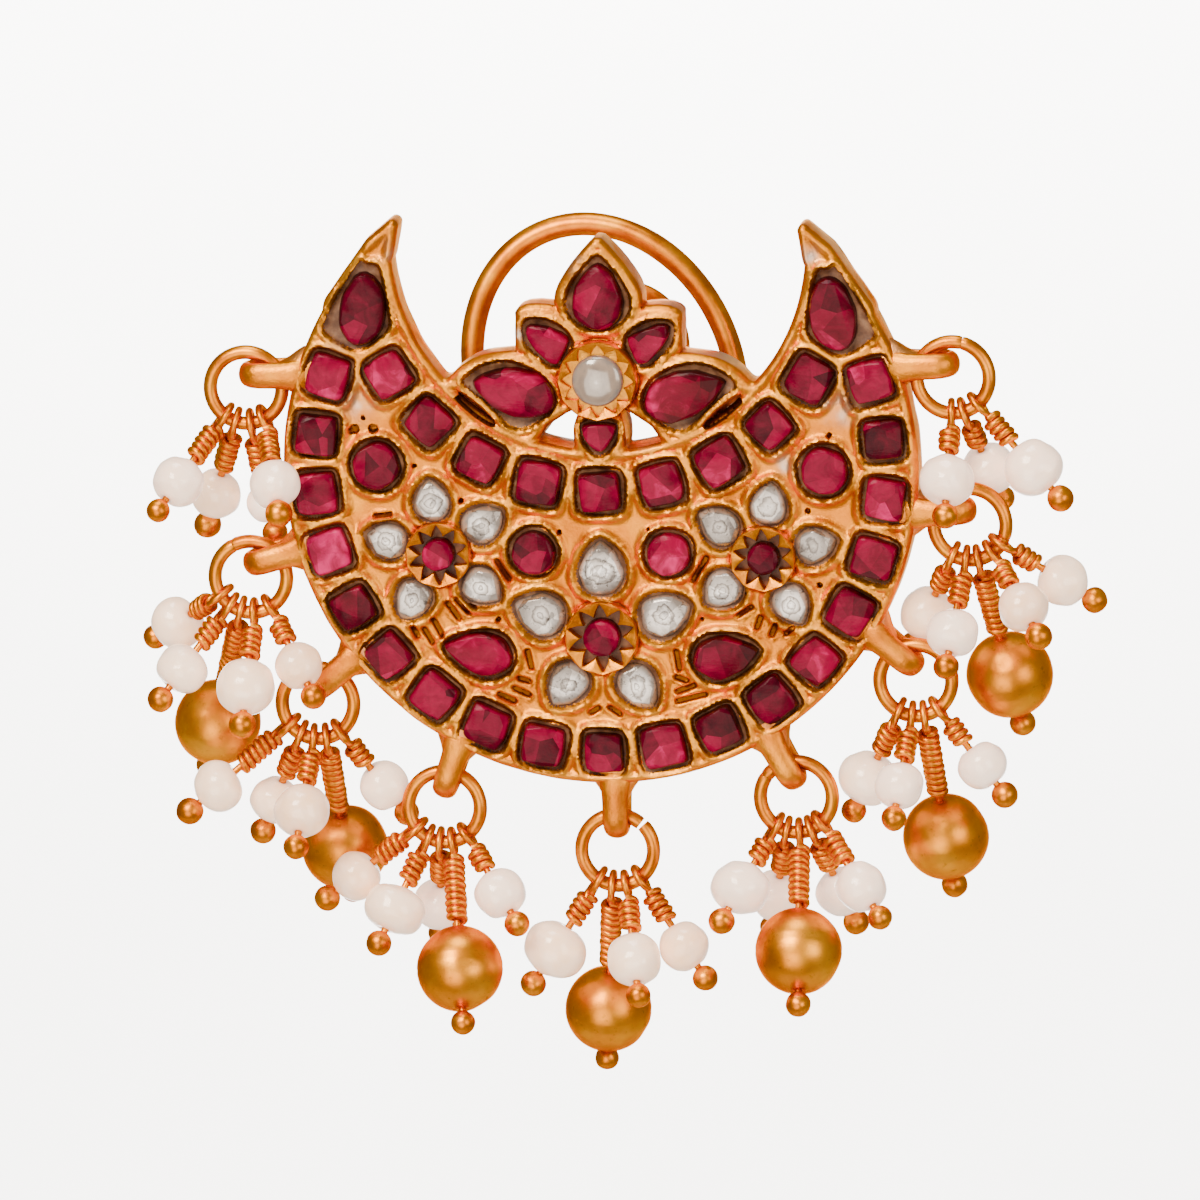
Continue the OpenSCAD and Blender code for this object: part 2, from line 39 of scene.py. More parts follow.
import bmesh
import bpy
import numpy as np
from mathutils import Matrix, Vector
from mathutils.geometry import delaunay_2d_cdt

# CRESCENT AND LOTUS
# The body of the earring: a chased plate of gilt silver with walls round its cells,
# which brown lac fills, four filed collets, nine bails, and a post and a hinge behind.
# Lengths are in millimetres; x is right, z is up, h the height over the plate's back.
CRESCENT_R = 17.45
CRESCENT_Z = -5.0
MOUTH_R = 11.4
MOUTH_Z = 7.43
FIELD_H = 2.15
WALL_H = 0.34
LAC_H = 2.04
# Walls: distance of a wall's crest from its cell and half its width; the raised
# rim: the same from the outline, and its height; chasing: depth, half the width of
# a dash, and the slope of its sides
WALL_OUT, WALL_HALF = 0.24, 0.2
RIM_IN, RIM_HALF, RIM_H = 0.3, 0.25, 0.24
CHASED, DASH_HALF, SLOPE = 0.2, 0.17, 0.07
FLOWER_X, FLOWER_Z, LOW_FLOWER_Z = 8.94, -9.8, -14.3

HORN_CIRCLES = [(11.3, 8.3, 0.33), (12.11, 6.87, 0.9), (13.96, 3.73, 1.2)]
LOTUS_PETALS = [
    [(0, 7.95), (0.8, 7.15), (1.67, 6.1), (2.35, 4.95), (2.45, 3.95), (1.9, 2.4), (0, 0.8)],
    [(0.8, 0.8), (4.6, 1.0), (4.55, 3.2), (4.6, 3.8), (3.7, 4.15), (2.2, 4.0), (0.8, 2.8)],
    [(-0.6, -0.8), (2.6, -2.3), (3.5, -3.55), (4.3, -3.75), (5.4, -3.05), (6.2, -1.95), (7.3, -1.0),
     (8.0, -0.62), (9.6, -0.9), (9.0, -0.3), (8.35, -0.16), (7.65, 0.6), (6.7, 1.15), (5.6, 1.4),
     (4.4, 1.5), (-0.6, 1.4)],
    [(0, 0), (1.15, -1.75), (1.5, -2.9), (1.25, -4.7), (0, -4.9)],
]
# Cells whose outline isn't that of their stone: the kites at the horns and the
# lotus' petals, each on the left, and mirrored for the right
KITE = [(-13.1, 6.6), (-12.7, 6.15), (-12.1, 6.25), (-11.85, 5.3), (-11.5, 3.12), (-11.5, 2.6),
        (-12.66, 1.66), (-13.37, 1.4), (-14.17, 1.8), (-15.2, 2.5), (-15.1, 3.1)]
PETAL_TOP = [(0, 6.95), (0.55, 6.3), (1.1, 5.7), (1.6, 4.9), (1.78, 4.15), (1.62, 3.5), (1.1, 3.05),
             (0.6, 2.75), (-0.6, 2.75), (-1.1, 3.05), (-1.62, 3.5), (-1.78, 4.15), (-1.6, 4.9),
             (-1.1, 5.7), (-0.55, 6.3)]
PETAL_UPPER = [(-4.15, 3.2), (-3.1, 3.35), (-1.95, 2.85), (-1.4, 2.1), (-1.7, 1.2), (-2.25, 0.55),
               (-3.05, 0.9), (-3.9, 1.75), (-4.25, 2.5)]
PETAL_SIDE = [(-7.6, -0.3), (-7.1, 0.2), (-6.2, 0.75), (-5.0, 0.92), (-3.9, 0.6), (-3.0, 0.05),
              (-2.45, -0.7), (-2.4, -1.45), (-2.95, -2.1), (-3.7, -2.6), (-4.45, -2.85),
              (-5.2, -2.45), (-6.05, -1.45), (-6.9, -0.85)]
PETAL_BOTTOM = [(-1.12, -2.25), (1.12, -2.25), (1.08, -3.0), (0.65, -3.85), (0, -4.4), (-0.65, -3.85),
                (-1.08, -3.0)]
# Stones with corners: the lotus' upper ones, on the left, and its bottom one
UPPER_STONE = [(-3.95, 3.1), (-2.95, 3.05), (-1.6, 2.4), (-1.55, 1.9), (-2.15, 0.75), (-2.55, 0.8),
               (-3.3, 1.4), (-3.98, 2.4)]
BOTTOM_STONE = [(-0.98, -2.4), (0.98, -2.4), (0.95, -2.95), (0.55, -3.7), (0, -4.2), (-0.55, -3.7),
                (-0.95, -2.95)]
# The crevice between a side petal and the crescent, on the left, sunk and painted dark as shade
CREVICE = [(-7.75, -0.95), (-7.2, -1.15), (-6.3, -1.95), (-5.7, -2.4), (-5.8, -2.8), (-6.7, -2.3),
           (-7.5, -1.6), (-7.95, -1.15)]
# Collets: middle, outer radius, radius of the star's points and of its inner
# corners, number of teeth, and the heights of the teeth and of the well's floor
COLLETS = [(-FLOWER_X, FLOWER_Z, 1.78, 1.66, 1.0, 10, 2.8, 2.0), (FLOWER_X, FLOWER_Z, 1.78, 1.66, 1.0, 10, 2.8, 2.0),
           (0, LOW_FLOWER_Z, 2.0, 1.88, 1.14, 10, 2.84, 2.0), (0, 0, 2.16, 2.0, 1.48, 12, 3.05, 2.6)]
# Spots where the gilding is rubbed down to the silver: place and radius
RUBBED = [(-13.2, -1.4, 0.8), (13.0, -1.6, 0.8), (-11.6, 6.9, 0.5), (11.6, 6.9, 0.5), (-14.6, 1.5, 0.5),
          (-4.4, 2.2, 0.5), (2.4, -3.2, 0.5), (10.2, -4.6, 0.5), (-1.2, 6.4, 0.45)]
# Chased dashes, from one end to the other, and small pits, both painted dark as shade
DASHES = [(-8.5, -12.6, -7.9, -13.4), (-8.05, -12.3, -7.35, -13.05), (-7.6, -12.1, -7.0, -12.7),
          (-9.3, -13.5, -8.85, -14.35), (-9.8, -14.05, -9.4, -14.75), (-10.45, -13.9, -10.2, -14.4),
          (-4.15, -15.2, -3.95, -16.1), (-4.6, -16.7, -4.1, -16.85), (-4.9, -17.25, -4.1, -17.6),
          (-5.7, -17.6, -4.9, -17.95), (-5.75, -10.2, -5.1, -11.2),
          (4.05, -15.1, 4.2, -16.05), (4.05, -16.5, 4.6, -16.7), (4.1, -17.3, 5.0, -16.95),
          (4.1, -17.85, 5.6, -17.45), (5.75, -9.9, 5.05, -11.1), (7.5, -13.0, 8.2, -12.55),
          (8.7, -13.15, 8.5, -13.7), (9.55, -13.5, 9.3, -14.1), (10.45, -13.7, 10.1, -14.0),
          (-0.7, -18.55, -0.3, -18.3), (0.35, -18.25, 0.9, -18.6), (-12.4, -7.75, -11.6, -7.65)]
PITS = [(-13.5, -2.95, 0.3), (-12.5, -2.9, 0.28), (-10.25, -4.95, 0.14), (-7.7, -6.85, 0.15),
        (-2.3, -8.55, 0.14), (-5.75, -13.45, 0.16), (5.5, -13.25, 0.12), (7.9, -11.8, 0.1),
        (12.0, -11.3, 0.17), (-11.0, -12.1, 0.15), (11.4, -7.2, 0.16), (12.6, -3.0, 0.15),
        (-13.0, -2.3, 0.12), (2.6, -8.3, 0.1)]

rng = np.random.default_rng(11)


def ripple(p, size, seed):
    """Smooth noise between about -1 and 1 at points p, with bumps about size across."""
    r = np.random.default_rng(seed)
    total = np.zeros(len(p))
    for _ in range(9):
        way = r.normal(size=p.shape[1])
        way *= r.uniform(0.6, 1.5) * math.pi / size / np.linalg.norm(way)
        total += np.sin(p @ way + r.uniform(0, 6.28))
    return total / 3.4


def softened(loop, times=2):
    """A closed loop of corners with the corners cut, times over."""
    v = np.array(loop, float)
    for _ in range(times):
        n = np.roll(v, -1, 0)
        v = np.stack([v * 0.75 + n * 0.25, v * 0.25 + n * 0.75], 1).reshape(-1, 2)
    return v


def evenly(loop, step):
    """A closed loop with corners about step apart, anticlockwise."""
    v = np.vstack([loop, loop[:1]])
    s = np.concatenate([[0], np.cumsum(np.linalg.norm(np.diff(v, axis=0), axis=1))])
    t = np.linspace(0, s[-1], max(8, round(s[-1] / step)), endpoint=False)
    out = np.stack([np.interp(t, s, v[:, 0]), np.interp(t, s, v[:, 1])], 1)
    x, z = out.T
    area = (x * np.roll(z, -1) - np.roll(x, -1) * z).sum()
    return out if area > 0 else out[::-1]


def grown(loop, d):
    """A smooth anticlockwise loop moved outwards by d."""
    t = np.roll(loop, -1, 0) - np.roll(loop, 1, 0)
    t /= np.linalg.norm(t, axis=1, keepdims=True) + 1e-12
    return loop + d * np.stack([t[:, 1], -t[:, 0]], 1)


def inside_by(p, loop):
    """Signed distance of points p from a loop, negative inside."""
    best = np.full(len(p), 1e9)
    sign = np.ones(len(p))
    for a, b in zip(loop, np.roll(loop, -1, 0)):
        e, w = b - a, p - a
        t = np.clip(w @ e / (e @ e + 1e-12), 0, 1)
        best = np.minimum(best, ((w - t[:, None] * e) ** 2).sum(1))
        c1, c2 = p[:, 1] >= a[1], p[:, 1] < b[1]
        c3 = e[0] * w[:, 1] > e[1] * w[:, 0]
        sign = np.where((c1 & c2 & c3) | (~c1 & ~c2 & ~c3), -sign, sign)
    return sign * np.sqrt(best)


def drop_loop(w, l, point):
    """A drop pointing to +x: round at point 0, a teardrop towards 1."""
    t = np.linspace(0, 2 * math.pi, 44, endpoint=False)
    k = np.abs(np.sin(t / 2)) ** point
    return np.stack([l / 2 * np.cos(t), w / 2 * np.sin(t) * k / math.sin(math.pi / 3) ** point], 1)


def placed(loop, x, z, degrees):
    a = math.radians(degrees)
    return loop @ np.array([[math.cos(a), math.sin(a)], [-math.sin(a), math.cos(a)]]) + (x, z)


def square_loop(s, corner=0.11):
    q = np.array([(0.5, -0.5 + corner), (0.5, 0.5 - corner)])
    return softened(np.vstack([placed(q, 0, 0, a) for a in (0, 90, 180, 270)]) * s, 2)


def mirrored(loop):
    return [(-x, z) for x, z in reversed(loop)]


# Stones: CAD node, place, own loop and cell's loop. They sit a little askew in
# cells that were cut by hand.
STONES = []


def stone_at(node, x, z, turn, shape, cell=None, wide=0.13):
    askew = rng.normal(0, 1.6)
    off = rng.normal(0, 0.035, 2)
    own = placed(shape, x + off[0], z + off[1], turn + askew)
    own = own + 0.035 * ripple(own, 0.9, len(STONES) + 40)[:, None] * (own - (x, z))
    outline = evenly(placed(shape, x, z, turn) if cell is None else softened(cell), 0.17)
    if cell is None:
        outline = grown(outline, wide) + 0.03 * ripple(outline, 1.3, len(STONES) + 140)[:, None]
    STONES.append(dict(node=node, at=np.array((x, z)), own=evenly(own, 0.2), cell=outline))


# The two rows: stones to each side of the lowest one, degrees from one to the next,
# radius and height of the row's circle, and the stones' size
for node, count, step, r, z, size in (("outer_row_rubies", 9, 12.07, CRESCENT_R - 1.74, CRESCENT_Z, 2.32),
                                      ("inner_row_rubies", 4, 14.44, MOUTH_R + 2.25, MOUTH_Z, 2.34)):
    for k in range(-count, count + 1):
        turn = 270 + k * step
        a = math.radians(turn)
        side = size + rng.normal(0, 0.05)
        stone_at(node, r * math.cos(a), z + r * math.sin(a), turn, square_loop(side) * (1, 1 + rng.normal(0, 0.03)))
for side, word in ((-1, "left"), (1, "right")):
    kite, upper, leaf, own = (c if side < 0 else mirrored(c) for c in (KITE, PETAL_UPPER, PETAL_SIDE, UPPER_STONE))
    stone_at("horn_ruby_" + word, side * 12.9, 3.75, 90 + side * 6, drop_loop(2.7, 4.25, 0.12), kite)
    stone_at("round_ruby_outer_" + word, side * 12.3, -4.95, 0, drop_loop(2.7, 2.7, 0), wide=0.12)
    stone_at("round_ruby_inner_" + word, side * 3.72, -9.61, 0, drop_loop(2.48, 2.48, 0))
    stone_at("pear_ruby_" + word, side * 6.82, -15.3, 90 - side * 78, drop_loop(2.68, 3.75, 0.6))
    stone_at("lotus_ruby_upper_" + word, side * 2.8, 2.0, 0, softened(own, 1) - (side * 2.8, 2.0), upper)
    stone_at("lotus_ruby_side_" + word, side * 4.69, -0.8, 90 - side * 73, drop_loop(3.0, 4.8, 0.5), leaf)
stone_at("lotus_ruby_top", 0, 4.6, 90, drop_loop(3.12, 3.85, 0.55), PETAL_TOP)
stone_at("lotus_ruby_bottom", 0, -3.2, 0, softened(BOTTOM_STONE, 1) - (0, -3.2), PETAL_BOTTOM)
# The flowers' petals: direction in degrees, distance from the middle, width, length
SIDE_PETALS = [(14, 3.0, 2.18, 2.38), (83, 3.0, 2.18, 2.38), (145, 3.05, 2.28, 2.53), (218, 2.97, 2.28, 2.38),
               (300, 3.0, 2.18, 2.43)]
LOW_PETALS = [(90, 3.85, 2.68, 3.1), (20, 3.7, 2.63, 2.95), (160, 3.7, 2.63, 2.95), (306, 3.35, 2.38, 2.7),
              (234, 3.35, 2.38, 2.7)]
for flower, side, z, petals, wide in (("flower_left", -1, FLOWER_Z, SIDE_PETALS, 0.13),
                                      ("flower_right", 1, FLOWER_Z, SIDE_PETALS, 0.13),
                                      ("flower_bottom", 0, LOW_FLOWER_Z, LOW_PETALS, 0.16)):
    for turn, far, w, l in petals:
        turn = 180 - turn if side < 0 else turn
        a = math.radians(turn)
        stone_at(flower + "_petals", side * FLOWER_X + far * math.cos(a), z + far * math.sin(a), turn,
                 drop_loop(w, l, 0.5), wide=wide)


def outline_field(p):
    """Signed distance from the plate's outline, negative inside."""
    body = np.maximum(np.hypot(p[:, 0], p[:, 1] - CRESCENT_Z) - CRESCENT_R,
                      MOUTH_R - np.hypot(p[:, 0], p[:, 1] - MOUTH_Z))
    q = np.abs(p * (1, 0)) + p * (0, 1)
    for (x0, z0, r0), (x1, z1, r1) in zip(HORN_CIRCLES, HORN_CIRCLES[1:]):
        for t in np.linspace(0, 1, 14):
            body = np.minimum(body, np.hypot(q[:, 0] - x0 - t * (x1 - x0), q[:, 1] - z0 - t * (z1 - z0))
                              - r0 - t * (r1 - r0))
    near = (np.abs(p[:, 0]) < 11) & (p[:, 1] > -6.5)
    lotus = np.full(len(p), 9.0)
    for petal in LOTUS_PETALS:
        whole = petal + mirrored(petal)[1:-1] if petal[0][0] == 0 else petal
        lotus[near] = np.minimum(lotus[near], inside_by(q[near], softened(whole, 1)))
    # Where the lotus meets the crescent, the solder fills the corner
    k = 0.22
    blend = np.clip(0.5 + 0.5 * (lotus - body) / k, 0, 1)
    return lotus * (1 - blend) + body * blend - k * blend * (1 - blend)


def level_loops(level, step, low=(-19.0, -23.6), high=(19.0, 9.8), cell=0.09):
    """Closed loops where the outline's field has that level."""
    nx, nz = (int((h - l) / cell) + 1 for l, h in zip(low, high))
    xs, zs = low[0] + cell * np.arange(nx), low[1] + cell * np.arange(nz)
    f = outline_field(np.stack(np.meshgrid(xs, zs, indexing="ij"), -1).reshape(-1, 2)).reshape(nx, nz) - level
    pts, nexts = {}, {}

    def cross(i, j, i2, j2):
        key = (i + i2, j + j2)
        t = f[i, j] / (f[i, j] - f[i2, j2])
        pts[key] = (xs[i] + t * (xs[i2] - xs[i]), zs[j] + t * (zs[j2] - zs[j]))
        return key

    s = f < 0
    mixed = (s[:-1, :-1] != s[1:, :-1]) | (s[:-1, :-1] != s[:-1, 1:]) | (s[:-1, :-1] != s[1:, 1:])
    for i, j in np.argwhere(mixed):
        corners = [(i, j), (i + 1, j), (i + 1, j + 1), (i, j + 1)]
        keys = [cross(*corners[k], *corners[(k + 1) % 4]) for k in range(4)
                if s[corners[k]] != s[corners[(k + 1) % 4]]]
        for a, b in ((0, 1),) if len(keys) == 2 else ((0, 1), (2, 3)):
            nexts.setdefault(keys[a], []).append(keys[b])
            nexts.setdefault(keys[b], []).append(keys[a])
    loops = []
    while nexts:
        start = next(iter(nexts))
        chain, here = [start], nexts.pop(start)[0]
        while here in nexts:
            chain.append(here)
            ways = [w for w in nexts.pop(here) if w in nexts]
            if not ways:
                break
            here = ways[0]
        if len(chain) > 20:
            loops.append(evenly(np.array([pts[k] for k in chain]), step))
    return loops


CREVICES = [evenly(softened(c, 1), 0.14) for c in (CREVICE, mirrored(CREVICE))]


def plate_height(p):
    """Height of the plate's front at points p, how much painted shade each gets for lying
    in a hollow, and its kind: 0 for metal and 1 for lac."""
    field = FIELD_H + 0.028 * ripple(p, 1.6, 1) + 0.018 * ripple(p, 0.7, 2)
    left = np.ones(len(p))
    cell_d = np.full(len(p), 9.0)
    for s in STONES:
        near = ((p - s["at"]) ** 2).sum(1) < 4.2 ** 2
        d = inside_by(p[near], s["cell"])
        cell_d[near] = np.minimum(cell_d[near], d)
        bar = np.exp(-(((d - WALL_OUT) / WALL_HALF) ** 2))
        left[near] *= 1 - 0.94 * np.where(d < -0.2, 0, bar)
    h = field + WALL_H * (1 - left) * (1 + 0.12 * ripple(p, 2.2, 3))
    edge = -outline_field(p)
    rim = np.exp(-(((edge - RIM_IN) / RIM_HALF) ** 2))
    h = np.maximum(h, field + RIM_H * rim)
    # Chased dashes and pits are punched into the field
    sunk = np.zeros(len(p))
    for x0, z0, x1, z1 in DASHES:
        a, e = np.array((x0, z0)), np.array((x1 - x0, z1 - z0))
        t = np.clip((p - a) @ e / (e @ e), 0, 1)
        d = np.linalg.norm(p - a - t[:, None] * e, axis=1)
        sunk = np.maximum(sunk, np.clip((DASH_HALF - d) / SLOPE, 0, 1))
        # The punch throws up a little burr beside the dash
        h += 0.07 * np.exp(-(((d - 0.27) / 0.08) ** 2))
    for x, z, r in PITS:
        d = np.hypot(p[:, 0] - x, p[:, 1] - z) * (1 + 0.2 * ripple(p, 0.35, 5))
        sunk = np.maximum(sunk, 1.6 * np.clip((r - d) / SLOPE, 0, 1))
    for loop in CREVICES:
        near = np.hypot(*(p - loop.mean(0)).T) < 2.6
        sunk[near] = np.maximum(sunk[near], 3.4 * np.clip((0.03 - inside_by(p[near], loop)) / 0.1, 0, 1))
    h -= CHASED * sunk
    # Inside a cell is the lac, which creeps up the wall and round the stone
    lac = LAC_H + 0.05 * ripple(p, 0.8, 6) + 0.12 * np.exp(-((cell_d + 0.05) / 0.12) ** 2)
    in_cell = cell_d < -0.025
    h = np.where(in_cell, lac, h)
    # Painted shade: the deeper the dashes, pits and crevices are sunk, the darker they are coloured
    hollow = np.clip(sunk, 0, 1)
    kind = np.where(in_cell, 1, 0)
    for x, z, out_r, _, _, _, _, floor in COLLETS:
        r = np.hypot(p[:, 0] - x, p[:, 1] - z)
        well = r < out_r - 0.06
        groove = np.clip(1 - np.abs(r - out_r - 0.05) / 0.12, 0, 1) * ~well * ~in_cell
        h = np.where(well, floor, h - 0.1 * groove)
        kind = np.where(well, 1 if floor < FIELD_H else 0, kind)
        # Painted shade in the collets' wells and in the grooves round them
        hollow = np.where(well, 0.75, np.maximum(hollow, 0.7 * groove))
    # Painted shade at the foot of the walls, on metal
    wall_foot = np.clip(1 - np.abs(cell_d) / 0.12, 0, 1)
    hollow = np.maximum(hollow, 0.4 * wall_foot * (kind == 0))
    return h, hollow, kind


def piece(name, mesh, body, nodes, slot):
    """An object that rides on its body in place of its CAD nodes."""
    obj = bpy.data.objects.new(name, mesh)
    bpy.context.scene.collection.objects.link(obj)
    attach(obj, body)
    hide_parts(*nodes)


def make(name, verts, faces, materials, body, nodes, slot, sharp=None, kinds=None, **attributes):
    """A mesh piece from millimetres, with its points' attributes."""
    mesh = bpy.data.meshes.new(name)
    mesh.from_pydata((np.asarray(verts, float) * 0.001).tolist(), [], faces)
    for key, values in attributes.items():
        mesh.attributes.new(key, "FLOAT", "POINT").data.foreach_set("value", np.asarray(values, np.float32))
    for m in materials:
        mesh.materials.append(m)
    if kinds is not None:
        mesh.polygons.foreach_set("material_index", np.asarray(kinds, np.int32))
    mesh.shade_smooth()
    if sharp is not None:
        mesh.set_sharp_from_angle(angle=math.radians(sharp))
    mesh.validate()
    piece(name, mesh, body, nodes, slot)


def linear(code):
    """A colour written as sRGB hex, as linear RGBA."""
    c = [int(code[i:i + 2], 16) / 255 for i in (0, 2, 4)]
    return tuple(v / 12.92 if v <= 0.04045 else ((v + 0.055) / 1.055) ** 2.4 for v in c) + (1.0,)


def add(tree, kind, inputs=None, out=0, stops=(), **settings):
    """Adds a node with its settings, a ramp's stops, and its inputs as values or
    links; gives one of its outputs, or with out=None the node."""
    node = tree.nodes.new(kind)
    for key, value in settings.items():
        setattr(node, key, value)
    for i, (at, code) in enumerate(stops):
        if i >= len(node.color_ramp.elements):
            node.color_ramp.elements.new(at)
        node.color_ramp.elements[i].position = at
        node.color_ramp.elements[i].color = linear(code)
    for key, value in (inputs or {}).items():
        if isinstance(value, bpy.types.NodeSocket):
            tree.links.new(value, node.inputs[key])
        else:
            node.inputs[key].default_value = value
    return node if out is None else node.outputs[out]


def material(name, paint):
    """A material whose surface paint(node, coordinates) gives, node being add on its tree."""
    m = bpy.data.materials.new(name)
    m.use_nodes = True
    m.node_tree.nodes.clear()

    def node(kind, *values, **settings):
        return add(m.node_tree, "ShaderNode" + kind, *values, **settings)

    where = node("TexCoord", out="Object")
    node("OutputMaterial", {"Surface": paint(node, where)}, None)
    return m


GILT_EDGE = linear("ffb048")


def gilt_plate(node, where):
    """Matt gilding: warm yellow with painted orange-brown shade in the hollows, a fine
    cast grain, a painted highlight in patches on the crests of walls and rim, and bare
    silver at the plate's sides."""
    cloud, grain, highlight_patches, blots, dents = (
        node("TexNoise", {"Vector": where, "Scale": s, "Detail": d, "Roughness": r})
        for s, d, r in ((550, 5, 0.55), (6500, 5, 0.6), (1100, 4, 0.55), (450, 4, 0.55), (2000, 3, 0.55)))
    hollow, crest_highlight, bare = (node("Attribute", out="Fac", attribute_name=k) for k in ("hollow", "crest", "bare"))
    base = node("ValToRGB", {"Fac": cloud}, stops=[(0.3, "c66c04"), (0.5, "e08406"), (0.68, "f29a10")])
    # Painted shade: the hollow attribute mixes the gilding towards dark brown
    hollow = node("Math", {0: hollow, 1: 0.85}, operation="MULTIPLY", use_clamp=True)
    base = node("Mix", {0: hollow, 6: base, 7: linear("3a1a02")}, 2, data_type="RGBA")
    # Painted highlight: the crests of walls and rim are made paler yellow, in patches
    crest_highlight = node("Math", {0: crest_highlight, 1: highlight_patches}, operation="MULTIPLY", use_clamp=True)
    crest_highlight = node("Math", {0: crest_highlight, 1: 0.9}, operation="MULTIPLY", use_clamp=True)
    base = node("Mix", {0: crest_highlight, 6: base, 7: linear("ffb638")}, 2, data_type="RGBA")
    blots = node("ValToRGB", {"Fac": blots}, stops=[(0.35, "303030"), (0.6, "ffffff")])
    bare = node("Math", {0: bare, 1: blots}, operation="MULTIPLY", use_clamp=True)
    base = node("Mix", {0: bare, 6: base, 7: linear("d9c8b8")}, 2, data_type="RGBA")
    rough = node("Math", {0: grain, 1: 0.25, 2: 0.24}, operation="MULTIPLY_ADD")
    height = node("Mix", {0: 0.35, 6: grain, 7: dents}, 2, data_type="RGBA")
    bump = node("Bump", {"Height": height, "Strength": 0.55, "Distance": 0.00008})
    return node("BsdfPrincipled", {"Base Color": base, "Metallic": 1.0, "Roughness": rough,
                                   "Specular Tint": GILT_EDGE, "Normal": bump})


def brown_lac(node, where):
    """Shellac round the stones: matt brown, from dark to mid brown in random patches, with dust."""
    cloud, dust = (
        node("TexNoise", {"Vector": where, "Scale": s, "Detail": d, "Roughness": r})
        for s, d, r in ((1300, 5, 0.55), (7000, 4, 0.55)))
    base = node("ValToRGB", {"Fac": cloud}, stops=[(0.3, "3c1e10"), (0.5, "644028"), (0.72, "8a6446")])
    bump = node("Bump", {"Height": dust, "Strength": 0.4, "Distance": 0.00005})
    return node("BsdfPrincipled", {"Base Color": base, "Roughness": 0.55, "Normal": bump})


GILT = material("matt gilding", gilt_plate)
LAC = material("brown lac", brown_lac)


def grid_points(step, row, shift):
    """Points all over the plate in rows, every other one shifted."""
    gx, gz = np.meshgrid(np.arange(-18.5, 18.5, step), np.arange(-22.6, 9.2, row), indexing="ij")
    return np.stack([gx + (np.arange(gx.shape[1]) % 2) * shift, gz], -1).reshape(-1, 2)


def triangulated(loops, edges, cloud, limit):
    """Points, which of the given ones each of them was, and anticlockwise triangles
    of the plate, between loops whose edges are kept and a cloud of points."""
    flat = np.vstack(loops + [cloud])
    out = delaunay_2d_cdt([Vector(v) for v in flat], edges, [], 0, 1e-5, True)
    spots = np.array([tuple(v) for v in out[0]])
    tris = np.array([f for f in out[2] if len(f) == 3])
    tris = tris[outline_field(spots[tris].mean(1)) < limit]
    a, b, c = (spots[tris[:, k]] for k in range(3))
    turn = (b[:, 0] - a[:, 0]) * (c[:, 1] - a[:, 1]) - (b[:, 1] - a[:, 1]) * (c[:, 0] - a[:, 0])
    return spots, out[3], np.where((turn > 0)[:, None], tris, tris[:, ::-1])


def circle(x, z, r, n):
    t = np.linspace(0, 2 * math.pi, n, endpoint=False)
    return np.stack([x + r * np.cos(t), z + r * np.sin(t)], 1)


def plate_points():
    """Points close to each other where the front's relief is steep."""
    cloud = [loop for level in (-0.05, -0.16) for loop in level_loops(level, 0.16)]
    for s in STONES:
        cloud += [grown(s["cell"], d) for d in (-0.055, 0.0)]
        cloud += [grown(s["cell"], d)[::2] for d in (0.1, 0.2, 0.32, 0.45)]
    cloud += [grown(loop, d) for loop in CREVICES for d in (-0.16, -0.07, 0.03, 0.12)]
    cloud += [circle(x, z, out_r + d, 90) for x, z, out_r, *_ in COLLETS for d in (-0.1, -0.02, 0.05, 0.16)]
    for x0, z0, x1, z1 in DASHES:
        a, e = np.array((x0, z0)), np.array((x1 - x0, z1 - z0))
        u = e / np.linalg.norm(e)
        n = np.array((-u[1], u[0]))
        cloud += [np.array([a + t * u + o * n for o in (-0.3, -0.22, -0.165, -0.1, 0, 0.1, 0.165, 0.22, 0.3)])
                  for t in np.arange(-0.3, np.linalg.norm(e) + 0.31, 0.09)]
    cloud += [circle(x, z, q * r, 14) for x, z, r in PITS for q in (0.3, 0.7, 1.0, 1.35)]
    cloud = np.vstack(cloud + [grid_points(0.16, 0.16 * 0.866, 0.08)])
    cloud = cloud[outline_field(cloud) < -0.035]
    # The first point in each small square of the plane is kept
    key = np.floor(cloud / 0.062).astype(np.int64)
    _, keep = np.unique(key[:, 0] * 100000 + key[:, 1], return_index=True)
    return cloud[np.sort(keep)]


